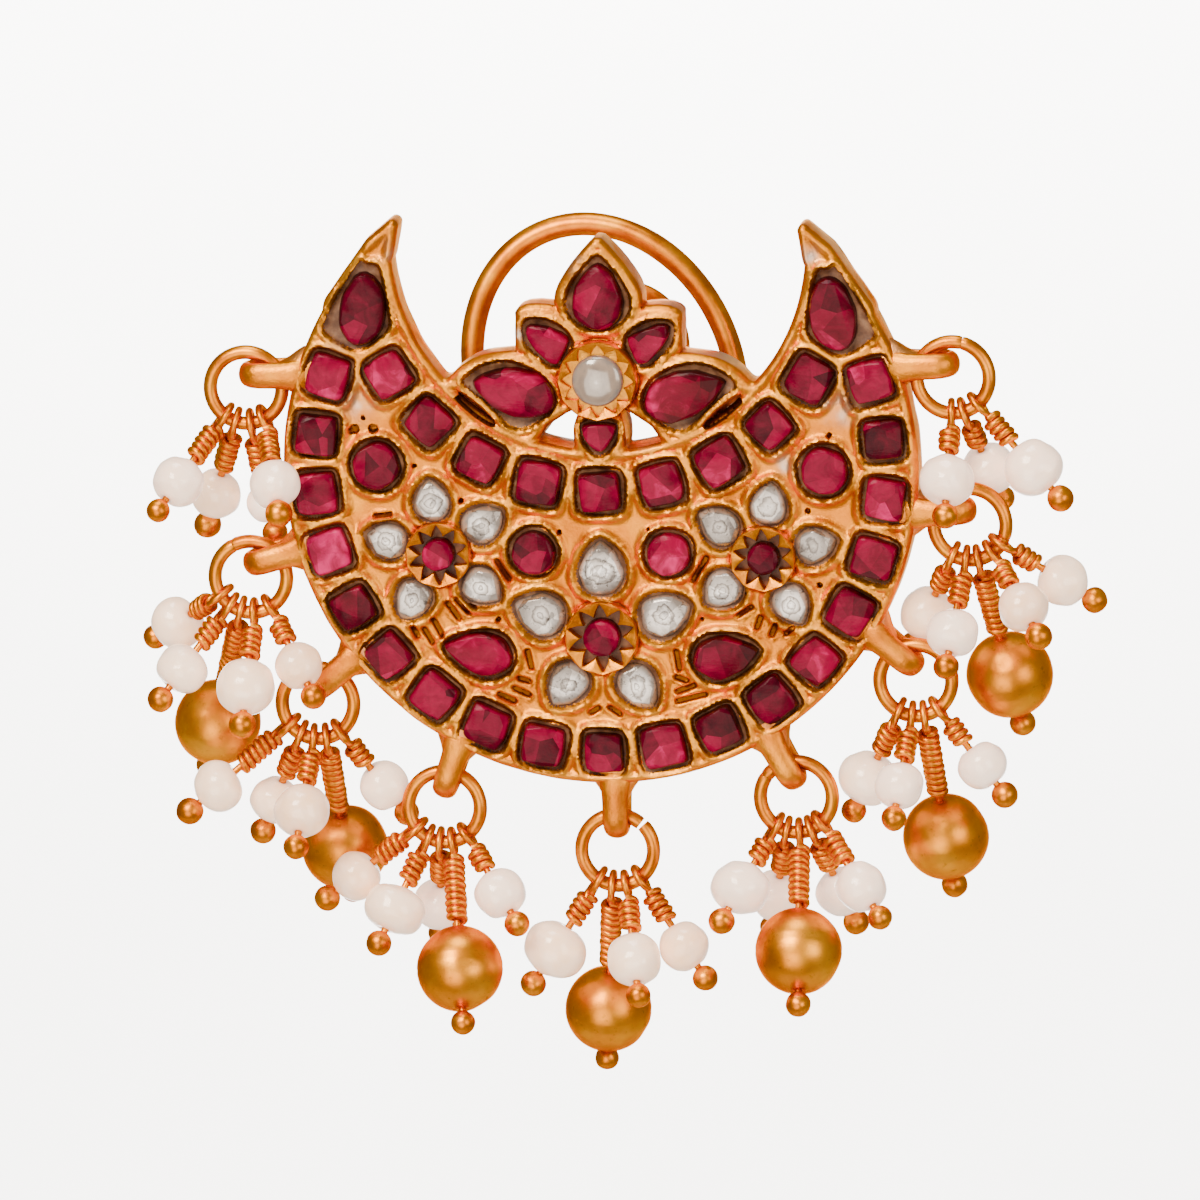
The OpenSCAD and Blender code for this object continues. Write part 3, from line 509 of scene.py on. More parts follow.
def plate_mesh():
    """Front as one triangulated relief, a rounded rim, sides, and a flat back."""
    rims = level_loops(0.0, 0.14)
    edges, first = [], 0
    for loop in rims:
        edges += [(first + i, first + (i + 1) % len(loop)) for i in range(len(loop))]
        first += len(loop)
    spots, olds, tris = triangulated(rims, edges, plate_points(), 0.0)
    place = {o: i for i, old in enumerate(olds) for o in old}
    h, hollow, kind = plate_height(spots)
    h = h - 0.14 * np.clip(1 + outline_field(spots) / 0.17, 0, 1) ** 2
    # The crests of walls and rim, which get a painted highlight
    crest = (np.clip((h - FIELD_H - 0.16) / 0.14, 0, 1) * (kind == 0)).tolist()
    worn = sum(np.exp(-((np.hypot(spots[:, 0] - x, spots[:, 1] - z) / r) ** 2)) for x, z, r in RUBBED)
    bare = np.clip(worn * (0.75 + 0.5 * ripple(spots, 0.5, 12)), 0, 1).tolist()
    verts = np.stack([spots[:, 0], -h, spots[:, 1]], 1).tolist()
    faces = [tuple(t) for t in tris.tolist()]
    kinds = (kind[tris].sum(1) >= 2).astype(int).tolist()
    hollow = hollow.tolist()
    # The sides go down in rings: height over the back, and how far out each lies
    back_loops, back_ring, first = [], [], 0
    for loop in rims:
        n = len(loop)
        ring = [place[first + i] for i in range(n)]
        first += n
        for depth, d in ((1.7, 0.01), (0.9, 0.015), (0.16, 0.0), (0.03, -0.1)):
            start = len(verts)
            moved = grown(loop, d)
            moved = moved + 0.02 * ripple(moved + depth, 1.1, 8)[:, None] * (0.5 if d < 0 else 1.0)
            verts += [[x, -depth, z] for x, z in moved]
            hollow += [0.0] * n
            crest += [0.0] * n
            bare += [1.0] * n
            faces += [(ring[(i + 1) % n], ring[i], start + i, start + (i + 1) % n) for i in range(n)]
            kinds += [0] * n
            ring = list(range(start, start + n))
        back_loops.append(moved)
        back_ring += ring
    grid = grid_points(0.75, 0.65, 0.37)
    spots, olds, tris = triangulated(back_loops, edges, grid[outline_field(grid) < -0.45], -0.05)
    index = []
    for i, old in enumerate(olds):
        old = [o for o in old if o < len(back_ring)]
        index.append(back_ring[old[0]] if old else len(verts))
        if not old:
            y = -0.03 + 0.03 * (1 + ripple(spots[i:i + 1], 2.4, 9)[0]) / 2
            verts.append([spots[i, 0], min(0.0, y), spots[i, 1]])
            hollow.append(0.0)
            crest.append(0.0)
            bare.append(0.35)
    faces += [tuple(index[k] for k in t[::-1]) for t in tris.tolist()]
    kinds += [0] * len(tris)
    return verts, faces, kinds, hollow, crest, bare


verts, faces, kinds, hollow, crest, bare = plate_mesh()


def band_quads(rows, n, closed=False):
    """Faces between rows of n points each, up to the first row again or not."""
    return [(i * n + j, i * n + (j + 1) % n, (i + 1) % rows * n + (j + 1) % n, (i + 1) % rows * n + j)
            for i in range(rows if closed else rows - 1) for j in range(n)]


def sweep(centres, across, along, shape, scale=None, closed=False):
    """Rings of the loop shape round centres, with its two ways given at each centre."""
    n, m = len(centres), len(shape)
    scale = np.ones((n, 2)) if scale is None else scale
    rings = [c + np.outer(shape[:, 0] * k[0], u) + np.outer(shape[:, 1] * k[1], v)
             for c, u, v, k in zip(centres, across, along, scale)]
    caps = [] if closed else [tuple(range(m))[::-1], tuple(range((n - 1) * m, n * m))]
    return np.vstack(rings), band_quads(n, m, closed) + caps


def round_ways(axis, across, segments):
    """Ways at right angles to an axis, all round it from the way across."""
    t = np.linspace(0, 2 * math.pi, segments, endpoint=False)
    return np.outer(np.cos(t), across) + np.outer(np.sin(t), np.cross(axis, across))


def lathe(profile, origin, axis, across, segments):
    """A solid turned piece from a profile of (radius, distance along)."""
    ways, n = round_ways(axis, across, segments), len(profile)
    out = [np.array(origin) + d * np.array(axis, float) + r * ways for r, d in profile]
    caps = [tuple(range(segments))[::-1], tuple(range((n - 1) * segments, n * segments))]
    return np.vstack(out), band_quads(n, segments) + caps


def join(part, quads, bare_by=0.0):
    """Takes a part into the frame's own mesh."""
    start = len(verts)
    verts.extend(np.asarray(part).tolist())
    faces.extend(tuple(start + i for i in q) for q in quads)
    kinds.extend([0] * len(quads))
    hollow.extend([0.0] * len(part))
    crest.extend([0.0] * len(part))
    bare.extend([bare_by] * len(part))


# The collets: rings filed to a star, whose teeth are bent down on to the stone
for x, z, out_r, tip_r, in_r, teeth, top, floor in COLLETS:
    turns = np.linspace(0, teeth, teeth * 12, endpoint=False)
    gap = np.abs((turns + 0.5) % 1 * 2 - 1)
    star = in_r + (tip_r - in_r) * gap
    t = turns * 2 * math.pi / teeth + 1.3
    rows = []
    for share, fall in ((0, top - floor + 0.2), (0, 0.34), (0.08, 0.22), (0.5, 0.08), (0.86, 0.0), (1, 0.12),
                        (1, top - FIELD_H + 0.3)):
        r = star + (out_r - star) * share
        low = top - fall * (1 if fall > 0.5 else 1 - 0.6 * gap)
        rows.append(np.stack([x + r * np.cos(t), 0 * t - low, z + r * np.sin(t)], 1))
    join(np.vstack(rows), band_quads(len(rows), len(turns), True))

# Bails: straps bent into eyes, with a flared foot. Each has its place on the
# crescent's edge and the way that it points, in degrees.
BAILS = {"a": (163.5, 181), "b": (-164, -163), "c": (-142, -139), "d": (-117.5, -109), "e": (-88.2, -90),
         "f": (-58.7, -61), "g": (-31.3, -40), "h": (-7.4, 1), "i": (19.3, 3)}
# From the crescent's edge to the middle of the eye, the radius of the bend, and
# how far in front of the plate's back bails and rings are
BAIL_REACH, BAIL_BEND, HANG_Y = 2.85, 0.9, -1.25
FRONT = np.array((0, -1.0, 0))
STRAP = softened([(-0.72, -0.2), (-0.68, 0.08), (-0.42, 0.28), (0, 0.36), (0.42, 0.28), (0.68, 0.08),
                  (0.72, -0.2), (0.5, -0.27), (-0.5, -0.27)], 1)
# The solder under it: distance along the bail, half its width and half its depth
SOLDER = np.array([(-0.9, 1.6, 1.0), (-0.35, 1.5, 1.08), (0.0, 1.28, 1.1), (0.35, 1.02, 1.1), (0.7, 0.82, 1.05),
                   (1.0, 0.66, 0.95), (1.12, 0.5, 0.8)])
for name, (phi, way) in BAILS.items():
    phi, way = math.radians(phi), math.radians(way)
    foot = np.array((CRESCENT_R * math.cos(phi), HANG_Y, CRESCENT_R * math.sin(phi) + CRESCENT_Z))
    out_way = np.array((math.cos(way), 0, math.sin(way)))
    side_way = np.array((-math.sin(way), 0, math.cos(way)))
    straight = np.linspace(-0.55, BAIL_REACH - BAIL_BEND + 0.02, 9)
    end = straight[-1]
    arc = np.radians(np.linspace(90, -90, 15)[1:-1])
    path = [(s, BAIL_BEND) for s in straight]
    path += [(end + BAIL_BEND * math.cos(t), BAIL_BEND * math.sin(t)) for t in arc]
    path = np.array(path + [(s, -BAIL_BEND) for s in straight[::-1]])
    tangent = np.gradient(path, axis=0)
    tangent /= np.linalg.norm(tangent, axis=1, keepdims=True)
    normal = np.stack([tangent[:, 1], -tangent[:, 0]], 1)
    normal *= np.where((normal * (path - (end * 0.5, 0))).sum(1) < 0, -1, 1)[:, None]
    flare = np.exp(-np.clip(path[:, 0], 0, 9) / 0.42)
    tips = np.clip((path[:, 0] - end) / BAIL_BEND, 0, 1)
    scale = np.stack([1 + 0.25 * flare - 0.06 * tips, 1 + 0.1 * flare + 0.1 * tips], 1)
    path[:, 1] *= 1 - 0.2 * np.exp(-(path[:, 0] + 0.55) / 0.4)
    centres = foot + path[:, :1] * out_way + path[:, 1:] * FRONT
    along = normal[:, :1] * out_way + normal[:, 1:] * FRONT
    across = np.repeat(side_way[None], len(path), 0)
    join(*sweep(centres, across, along, STRAP, scale))
    join(*sweep(foot + SOLDER[:, :1] * out_way, np.repeat([side_way], 7, 0), np.repeat([FRONT], 7, 0),
                circle(0, 0, 1, 24) * (1, -1), SOLDER[:, 1:]), 0.25)

# The post that goes through the ear, on a round solder pad
post = [(1.5, -0.2), (1.5, 0.05), (1.3, 0.28), (0.7, 0.36), (0.48, 0.5), (0.45, 0.8)]
post += [(0.45, d) for d in (3, 6, 9, 10.2)]
post += [(0.41, 10.35), (0.45, 10.5), (0.45, 10.9), (0.4, 11.1), (0.25, 11.25), (0.05, 11.3)]
join(*lathe(post, (0, 0, 0), (0, 1, 0), (0, 0, 1), 28))

# The hinge: two ears behind the crescent with a riveted pin through them
HINGE = np.array((0.751, 1.3, -10.711))
EAR = [(-0.85, -1.5), (0.85, -1.5), (1.05, -1.25), (0.85, -0.4), (0.85, 0.1), (0.6, 0.62), (0.2, 0.84),
       (-0.2, 0.84), (-0.6, 0.62), (-0.85, 0.1), (-0.85, -0.4), (-1.05, -1.25)]
EAR_OUT, EAR_HALF, EAR_SHRINK = 1.9, (-0.4, -0.33, 0.33, 0.4), np.array([(0.92, 0.95), (1, 1), (1, 1), (0.92, 0.95)])
for side in (-1, 1):
    centres = HINGE + [(0, 0, 0)] * 4
    centres[:, 0] = np.array(EAR_HALF) + HINGE[0] + side * EAR_OUT
    join(*sweep(centres, np.repeat([(0, 0, -1.0)], 4, 0), np.repeat([(0, 1.0, 0)], 4, 0), softened(EAR, 2),
                EAR_SHRINK), 0.1)
pin = [(0.1, -2.45), (0.5, -2.42), (0.6, -2.33), (0.45, -2.28), (0.43, 0), (0.45, 2.28), (0.6, 2.33),
       (0.5, 2.42), (0.1, 2.45)]
join(*lathe(pin, HINGE, (1, 0, 0), (0, 0, 1), 24))
make("gilt_frame", verts, faces, [GILT, LAC], "earring", ["gold_frame"], "gilt_silver", 42, kinds,
     hollow=hollow, crest=crest, bare=bare)

# RUBIES
# Flat Mughal-cut rubies: uneven hand-cut facets round a large table, over foil whose
# light through them is painted into their colour in patches, with a faint painted glow.
# Each is meshed from the loop that its cell was cut for, and sits in the lac; the three
# of the flowers sit in collets.


def cut_stone(loop, top, table, bevel, r):
    """A slab with a girdle, an upper step and a tilted table, as a hull of corners."""
    middle = loop.mean(0)
    out = loop - middle
    size = np.abs(out).max()
    tilt = r.normal(0, 0.035, 2)
    points = []
    for share, h, every in ((0.97, LAC_H - 0.25, 1), (1.0, LAC_H + 0.12, 1), (0.93, top - bevel * 1.5, 2)):
        for q in out[::every]:
            k = share * (1 + r.normal(0, 0.006))
            points.append((middle[0] + q[0] * k, -(h + r.normal(0, 0.008)), middle[1] + q[1] * k))
    corners = max(5, len(out) // 5)
    start = int(r.integers(len(out)))
    for i in range(corners):
        q = out[(start + i * len(out) // corners) % len(out)]
        k = table * (1 + r.normal(0, 0.05))
        h = top + (q * k) @ tilt + r.normal(0, 0.012)
        points.append((middle[0] + q[0] * k, -h, middle[1] + q[1] * k))
    points.append((middle[0], -(top + 0.05 * size), middle[1]))
    bm = bmesh.new()
    for q in points:
        bm.verts.new(q)
    bmesh.ops.convex_hull(bm, input=bm.verts[:])
    bmesh.ops.delete(bm, geom=[v for v in bm.verts if not v.link_faces], context="VERTS")
    bmesh.ops.dissolve_limit(bm, angle_limit=math.radians(7), verts=bm.verts[:], edges=bm.edges[:])
    bmesh.ops.bevel(bm, geom=bm.edges[:], offset=0.022, segments=1, affect="EDGES")
    bmesh.ops.triangulate(bm, faces=bm.faces[:])
    bmesh.ops.recalc_face_normals(bm, faces=bm.faces[:])
    bm.verts.index_update()
    v = np.array([q.co for q in bm.verts])
    f = [tuple(q.index for q in face.verts) for face in bm.faces]
    bm.free()
    flat = np.stack([v[:, 0], v[:, 2]], 1)
    # How far in from the girdle each point is, which sets the painted shade there
    rim = np.clip(-inside_by(flat, loop) / (0.42 * size), 0, 1)
    return v, f, rim, ((flat - middle) / size).T


def stone_pieces(names, paint, slot, seed, top, table, bevel):
    """One piece for each CAD node, out of all its stones."""
    for name in names:
        verts, faces, given = [], [], []
        for i, s in enumerate(s for s in STONES if s["node"] == name):
            r = np.random.default_rng([seed, i, len(name), sum(map(ord, name))])
            v, f, rim, (across, up) = cut_stone(s["own"], top + r.normal(0, 0.03), table, bevel, r)
            faces += [tuple(len(verts) + k for k in q) for q in f]
            verts += v.tolist()
            given += np.stack([rim, np.full(len(v), r.random()), across, up], 1).tolist()
        rim, tone, across, up = np.array(given).T
        make(name.replace("rubies", "stones") + "_cut", verts, faces, [paint], "earring", [name], slot, 18,
             rim=rim, tone=tone, across=across, up=up)


def ruby_on_foil(node, where):
    """Crimson with painted pink glints of foil in random patches and painted shade at the
    girdle; reflections of the underside's straight facets are painted on the table as
    sharp patches, and the colour glows faintly as painted light."""
    tone, rim = (node("Attribute", out="Fac", attribute_name=k) for k in ("tone", "rim"))
    cells = node("TexVoronoi", {"Vector": where, "Scale": 620.0}, "Color")
    facet_reflection = node("SeparateColor", {"Color": cells})
    cloud = node("TexNoise", {"Vector": where, "Scale": 900, "Detail": 5, "Roughness": 0.6,
                              "Distortion": 1.2})
    mixed = node("Math", {0: tone, 1: 0.22}, operation="MULTIPLY")
    mixed = node("Math", {0: cloud, 1: 0.55, 2: mixed}, operation="MULTIPLY_ADD")
    mixed = node("Math", {0: facet_reflection, 1: 0.42, 2: mixed}, operation="MULTIPLY_ADD")
    # The ramp's pink top end is a painted glint of the foil, and the Voronoi cells are painted reflections of the
    # underside's facets
    base = node("ValToRGB", {"Fac": mixed}, stops=[(0.22, "26000a"), (0.42, "480015"), (0.6, "680024"),
                                                   (0.8, "860032"), (0.97, "c81c64")])
    # Painted shade: the stone is darkened towards its girdle
    girdle_shade = node("ValToRGB", {"Fac": rim}, stops=[(0.0, "5a1a28"), (0.12, "b08088"), (0.3, "ffffff")])
    base = node("Mix", {0: 1.0, 6: base, 7: girdle_shade}, 2, data_type="RGBA", blend_type="MULTIPLY")
    grain = node("Mapping", {"Vector": where, "Scale": (1, 1, 6), "Rotation": (0, 0.6, 0)})
    scratch = node("TexNoise", {"Vector": grain, "Scale": 2200, "Detail": 3, "Roughness": 0.55})
    rough = node("Math", {0: scratch, 1: 0.22, 2: 0.05}, operation="MULTIPLY_ADD")
    bump = node("Bump", {"Height": scratch, "Strength": 0.22, "Distance": 0.00005})
    # The emission of the base colour is a painted glow
    return node("BsdfPrincipled", {
        "Base Color": base, "Roughness": rough, "IOR": 1.76, "Specular IOR Level": 0.04, "Coat Weight": 0.02,
        "Coat Roughness": 0.06, "Emission Color": base, "Emission Strength": 0.25, "Normal": bump})


RUBY = material("ruby on foil", ruby_on_foil)
ruby_nodes = sorted({s["node"] for s in STONES if "petals" not in s["node"]})
stone_pieces(ruby_nodes, RUBY, "ruby", 21, top=2.72, table=0.86, bevel=0.07)
FLOWER_RUBIES = ("flower_left_ruby", "flower_right_ruby", "flower_bottom_ruby")
for node, (x, z, *_), radius in zip(FLOWER_RUBIES, COLLETS, (0.93, 0.93, 1.06)):
    STONES.append(dict(node=node, own=evenly(drop_loop(2 * radius, 2 * radius, 0) + (x, z), 0.2)))
stone_pieces(FLOWER_RUBIES, RUBY, "ruby", 33, top=2.98, table=0.84, bevel=0.08)

# POLKI
# Uncut diamond slices on silver foil: flat grey-white plates with rounded edges,
# whose foil's bright rings and dark lines are painted reflections in their colour. The
# lotus' middle one is a cloudy round cabochon.


def from_middle(node):
    """How far a point of a stone is from its middle, 1 at the girdle."""
    across, up = (node("Attribute", out="Fac", attribute_name=k) for k in ("across", "up"))
    far = node("Math", {0: up, 1: up}, operation="MULTIPLY")
    far = node("Math", {0: across, 1: across, 2: far}, operation="MULTIPLY_ADD")
    return node("Math", {0: far}, operation="SQRT")


def polki_on_foil(node, where):
    """Silver-grey with a painted white highlight in the middle and curved light and dark
    rings of painted foil reflections, painted facet reflections in patches, painted shade
    at the girdle and a faint painted glow; glassy on top.
    """
    far, rim = from_middle(node), node("Attribute", out="Fac", attribute_name="rim")
    wander = node("TexNoise", {"Vector": where, "Scale": 700, "Detail": 4, "Roughness": 0.6,
                               "Distortion": 0.8})
    fine = node("TexNoise", {"Vector": where, "Scale": 3200, "Detail": 4, "Roughness": 0.6,
                             "Distortion": 1.5})
    foil_rings = node("Math", {0: wander, 1: 0.75}, operation="MULTIPLY")
    foil_rings = node("Math", {0: far, 1: 0.8, 2: foil_rings}, operation="MULTIPLY_ADD")
    # Painted reflections of the foil: a white highlight in the middle, light and dark rings round it
    base = node("ValToRGB", {"Fac": foil_rings}, stops=[
        (0.3, "fbf9f8"), (0.41, "dedad8"), (0.455, "847d78"), (0.5, "f2efed"), (0.61, "b4ada8"), (0.66, "665e58"),
        (0.71, "d6d1ce"), (0.95, "8e857e")])
    cells = node("TexVoronoi", {"Vector": where, "Scale": 800.0}, "Color")
    facet_reflection = node("SeparateColor", {"Color": cells})
    # Multiplied over them: painted facet reflections in patches, fine dark flecks, and painted shade at the girdle
    for share, factor, stops in ((0.75, facet_reflection, [(0.15, "948d88"), (0.5, "d8d4d1"), (0.75, "ffffff")]),
                                 (0.75, fine, [(0.36, "6f6862"), (0.41, "ffffff")]),
                                 (0.9, rim, [(0.0, "8c7a70"), (0.18, "dcd7d4"), (0.32, "ffffff")])):
        shade = node("ValToRGB", {"Fac": factor}, stops=stops)
        base = node("Mix", {0: share, 6: base, 7: shade}, 2, data_type="RGBA", blend_type="MULTIPLY")
    height = node("TexNoise", {"Vector": where, "Scale": 1600, "Detail": 3, "Roughness": 0.55})
    bump = node("Bump", {"Height": height, "Strength": 0.35, "Distance": 0.00012})
    # The emission of the base colour is a painted glow
    return node("BsdfPrincipled", {
        "Base Color": base, "Roughness": 0.1, "IOR": 2.0, "Specular IOR Level": 0.3, "Metallic": 0.2,
        "Coat Weight": 0.2, "Coat Roughness": 0.03, "Emission Color": base, "Emission Strength": 0.2,
        "Normal": bump})


def cloudy_polki(node, where):
    """The middle stone: grey-brown and milky, with one soft painted white glint of foil in
    its middle, and darker towards its edge.
    """
    far = from_middle(node)
    milk = node("TexNoise", {"Vector": where, "Scale": 1300, "Detail": 6, "Roughness": 0.65})
    haze_and_glint = node("Math", {0: milk, 1: 0.6}, operation="MULTIPLY")
    haze_and_glint = node("Math", {0: far, 1: 0.55, 2: haze_and_glint}, operation="MULTIPLY_ADD")
    # The ramp's white near the middle is a painted glint; the colour darkens towards the edge
    base = node("ValToRGB", {"Fac": haze_and_glint}, stops=[
        (0.26, "f4efea"), (0.36, "a8998d"), (0.52, "7d6c60"), (0.7, "94806f"), (0.85, "6f6864")])
    return node("BsdfPrincipled", {"Base Color": base, "Roughness": 0.16, "IOR": 1.9,
                                   "Specular IOR Level": 0.6, "Coat Weight": 0.5, "Coat Roughness": 0.05})


POLKI = material("polki on foil", polki_on_foil)
CLOUDY = material("cloudy polki", cloudy_polki)
stone_pieces([flower + "_petals" for flower in ("flower_left", "flower_right", "flower_bottom")], POLKI, "polki",
             45, top=2.5, table=0.8, bevel=0.14)
# The lotus' middle stone is a cabochon: (radius, height) of its rings up to the top
CAB_R, CAB_SIDES = 1.42, 56
CAB_RINGS = [(1.38, LAC_H - 0.2), (CAB_R, 2.5), (1.41, 2.85), (1.34, 3.0), (1.2, 3.09), (0.95, 3.17), (0.6, 3.23),
             (0.25, 3.25)]
cap = [np.insert(circle(0, 0, r, CAB_SIDES), 1, -h, axis=1) for r, h in CAB_RINGS]
cap = np.vstack(cap + [[(0, -3.255, 0)]])
cap[:, 1] -= 0.02 * ripple(cap[:, ::2], 0.9, 17)
quads = [(a, d, c, b) for a, b, c, d in band_quads(len(CAB_RINGS), CAB_SIDES)]
last = (len(CAB_RINGS) - 1) * CAB_SIDES
quads += [(last + j, len(cap) - 1, last + (j + 1) % CAB_SIDES) for j in range(CAB_SIDES)] + [tuple(range(CAB_SIDES))]
across, up = cap[:, 0] / CAB_R, cap[:, 2] / CAB_R
make("lotus_cabochon", cap, quads, [CLOUDY], "earring", ["lotus_polki"], "polki", 50, across=across, up=up,
     rim=1 - np.hypot(across, up))

# EAR NUT
# A thin stamped disc soldered to a short barrel, which is pushed on the post from
# behind. Its edge is rolled over and it is polished more than the crescent.


def gilt_wire(node, where):
    """Drawn and polished gilding: deeper yellow in soft patches, paler worn patches, fine grain and dents."""
    cloud, fine, worn, dents = (
        node("TexNoise", {"Vector": where, "Scale": s, "Detail": d, "Roughness": r})
        for s, d, r in ((800, 5, 0.55), (5000, 5, 0.6), (350, 6, 0.7), (1600, 3, 0.55)))
    base = node("ValToRGB", {"Fac": cloud}, stops=[(0.3, "c26a04"), (0.5, "dc8006"), (0.7, "f09a14")])
    worn = node("ValToRGB", {"Fac": worn}, stops=[(0.58, "000000"), (0.72, "787878")])
    base = node("Mix", {0: worn, 6: base, 7: linear("f4ac28")}, 2, data_type="RGBA")
    rough = node("Math", {0: fine, 1: 0.24, 2: 0.24}, operation="MULTIPLY_ADD")
    height = node("Mix", {0: 0.5, 6: fine, 7: dents}, 2, data_type="RGBA")
    bump = node("Bump", {"Height": height, "Strength": 0.3, "Distance": 0.00005})
    return node("BsdfPrincipled", {"Base Color": base, "Metallic": 1.0, "Roughness": rough,
                                   "Specular Tint": GILT_EDGE, "Normal": bump})


WIRE = material("drawn gilt wire", gilt_wire)


def turned(profile, axis, across, segments):
    """A hollow turned piece from a closed profile of (radius, distance along)."""
    return sweep(np.zeros((segments, 3)), round_ways(axis, across, segments), np.repeat([axis], segments, 0),
                 np.array(profile, float), closed=True)


nut = [(0.5, 7.72), (0.9, 7.7), (2.9, 7.73), (3.2, 7.7), (3.45, 7.71), (3.6, 7.8), (3.65, 7.95), (3.6, 8.1),
       (3.45, 8.19), (3.2, 8.2), (2.9, 8.16), (1.9, 8.18), (1.6, 8.28), (1.5, 8.5), (1.5, 9.15), (1.42, 9.22),
       (1.42, 9.36), (1.5, 9.43), (1.5, 10.35), (1.42, 10.5), (1.25, 10.58), (0.62, 10.6), (0.5, 10.5)]
make("nut_turned", *turned(nut, (0, 1, 0), (1, 0, 0), 96), [WIRE], "nut", ["ear_nut"], "gilt_silver", 30)

# OMEGA LOOP
# An oval of thick round wire behind the crescent, on a knuckle that turns on the
# hinge pin, so that the loop folds against the ear. It is bent by hand.
LOOP_LONG, LOOP_SHORT, LOOP_WIRE, LOOP_LIFT, LOOP_POINTS = 8.55, 7.0, 0.64, 1.85, 160
tilt, lean = math.radians(26.7), math.radians(11)
low_z = -math.hypot(LOOP_LONG * math.cos(tilt), LOOP_SHORT * math.sin(tilt))
low_x = (LOOP_SHORT ** 2 - LOOP_LONG ** 2) * math.sin(2 * tilt) / 2 / low_z


def leant(points):
    """From the loop's own upright frame at the hinge to where it hangs."""
    p = np.asarray(points, float)
    y = p[:, 1] * math.cos(lean) + p[:, 2] * math.sin(lean)
    z = p[:, 2] * math.cos(lean) - p[:, 1] * math.sin(lean)
    return np.stack([p[:, 0], y, z], 1) + HINGE


t = np.linspace(0, 2 * math.pi, LOOP_POINTS, endpoint=False)
long_way, short_way = LOOP_LONG * np.cos(t), LOOP_SHORT * np.sin(t)
oval = np.stack([-long_way * math.sin(tilt) - short_way * math.cos(tilt) - low_x, np.zeros(LOOP_POINTS),
                 long_way * math.cos(tilt) - short_way * math.sin(tilt) + LOOP_LIFT - low_z], 1)
tangent = np.roll(oval, -1, 0) - np.roll(oval, 1, 0)
tangent /= np.linalg.norm(tangent, axis=1, keepdims=True)
outward = np.cross(tangent, (0, 1, 0))
swell = 1 + 0.10 * np.exp(-((oval[:, 2] - LOOP_LIFT) / 0.8) ** 2) + 0.008 * ripple(oval, 2.5, 61)
part, quads = sweep(oval, outward, np.repeat([(0, 1.0, 0)], LOOP_POINTS, 0),
                    circle(0, 0, LOOP_WIRE, 28), np.stack([swell, swell], 1), True)
loop_verts, loop_faces = part.tolist(), list(quads)
# The web from the knuckle up to the wire, (height, half width), and the knuckle
web = [(-0.5, 0.98), (0.4, 0.98), (0.9, 0.96), (1.3, 1.0), (1.6, 1.15)]
shape = softened([(1, 0.42), (1, -0.42), (0.6, -0.5), (-0.6, -0.5), (-1, -0.42), (-1, 0.42), (-0.6, 0.5),
                  (0.6, 0.5)], 2)
centres = np.array([(0.0, 0.0, z) for z, _ in web])
knuckle = [(0.5, -1.3), (0.95, -1.3), (1.06, -1.26), (1.1, -1.15), (1.1, 1.15), (1.06, 1.26), (0.95, 1.3), (0.5, 1.3)]
for part, quads in (sweep(centres, np.repeat([(1.0, 0, 0)], 5, 0), np.repeat([(0, 0.86, 0)], 5, 0), shape,
                          np.array([(w, 1.0) for _, w in web])), turned(knuckle, (1, 0, 0), (0, 0, 1), 40)):
    start = len(loop_verts)
    loop_verts += part.tolist()
    loop_faces += [tuple(start + k for k in q) for q in quads]
make("loop_wire", leant(loop_verts), loop_faces, [WIRE], "loop", ["omega_loop"], "gilt_silver", 40)

# JUMP RINGS
# Nine rings of round wire, one in each bail, cut and closed again: the cut shows as
# a fine line, and on the lowest cluster's ring it stands a little open.
RING_R, RING_WIRE, RING_POINTS = 1.98, 0.38, 84
INNER = RING_R - RING_WIRE - 0.08
# Half the depth and half the width of the bail's bar that the ring hangs on
BAR_DEEP, BAR_WIDE = 0.275, 0.7


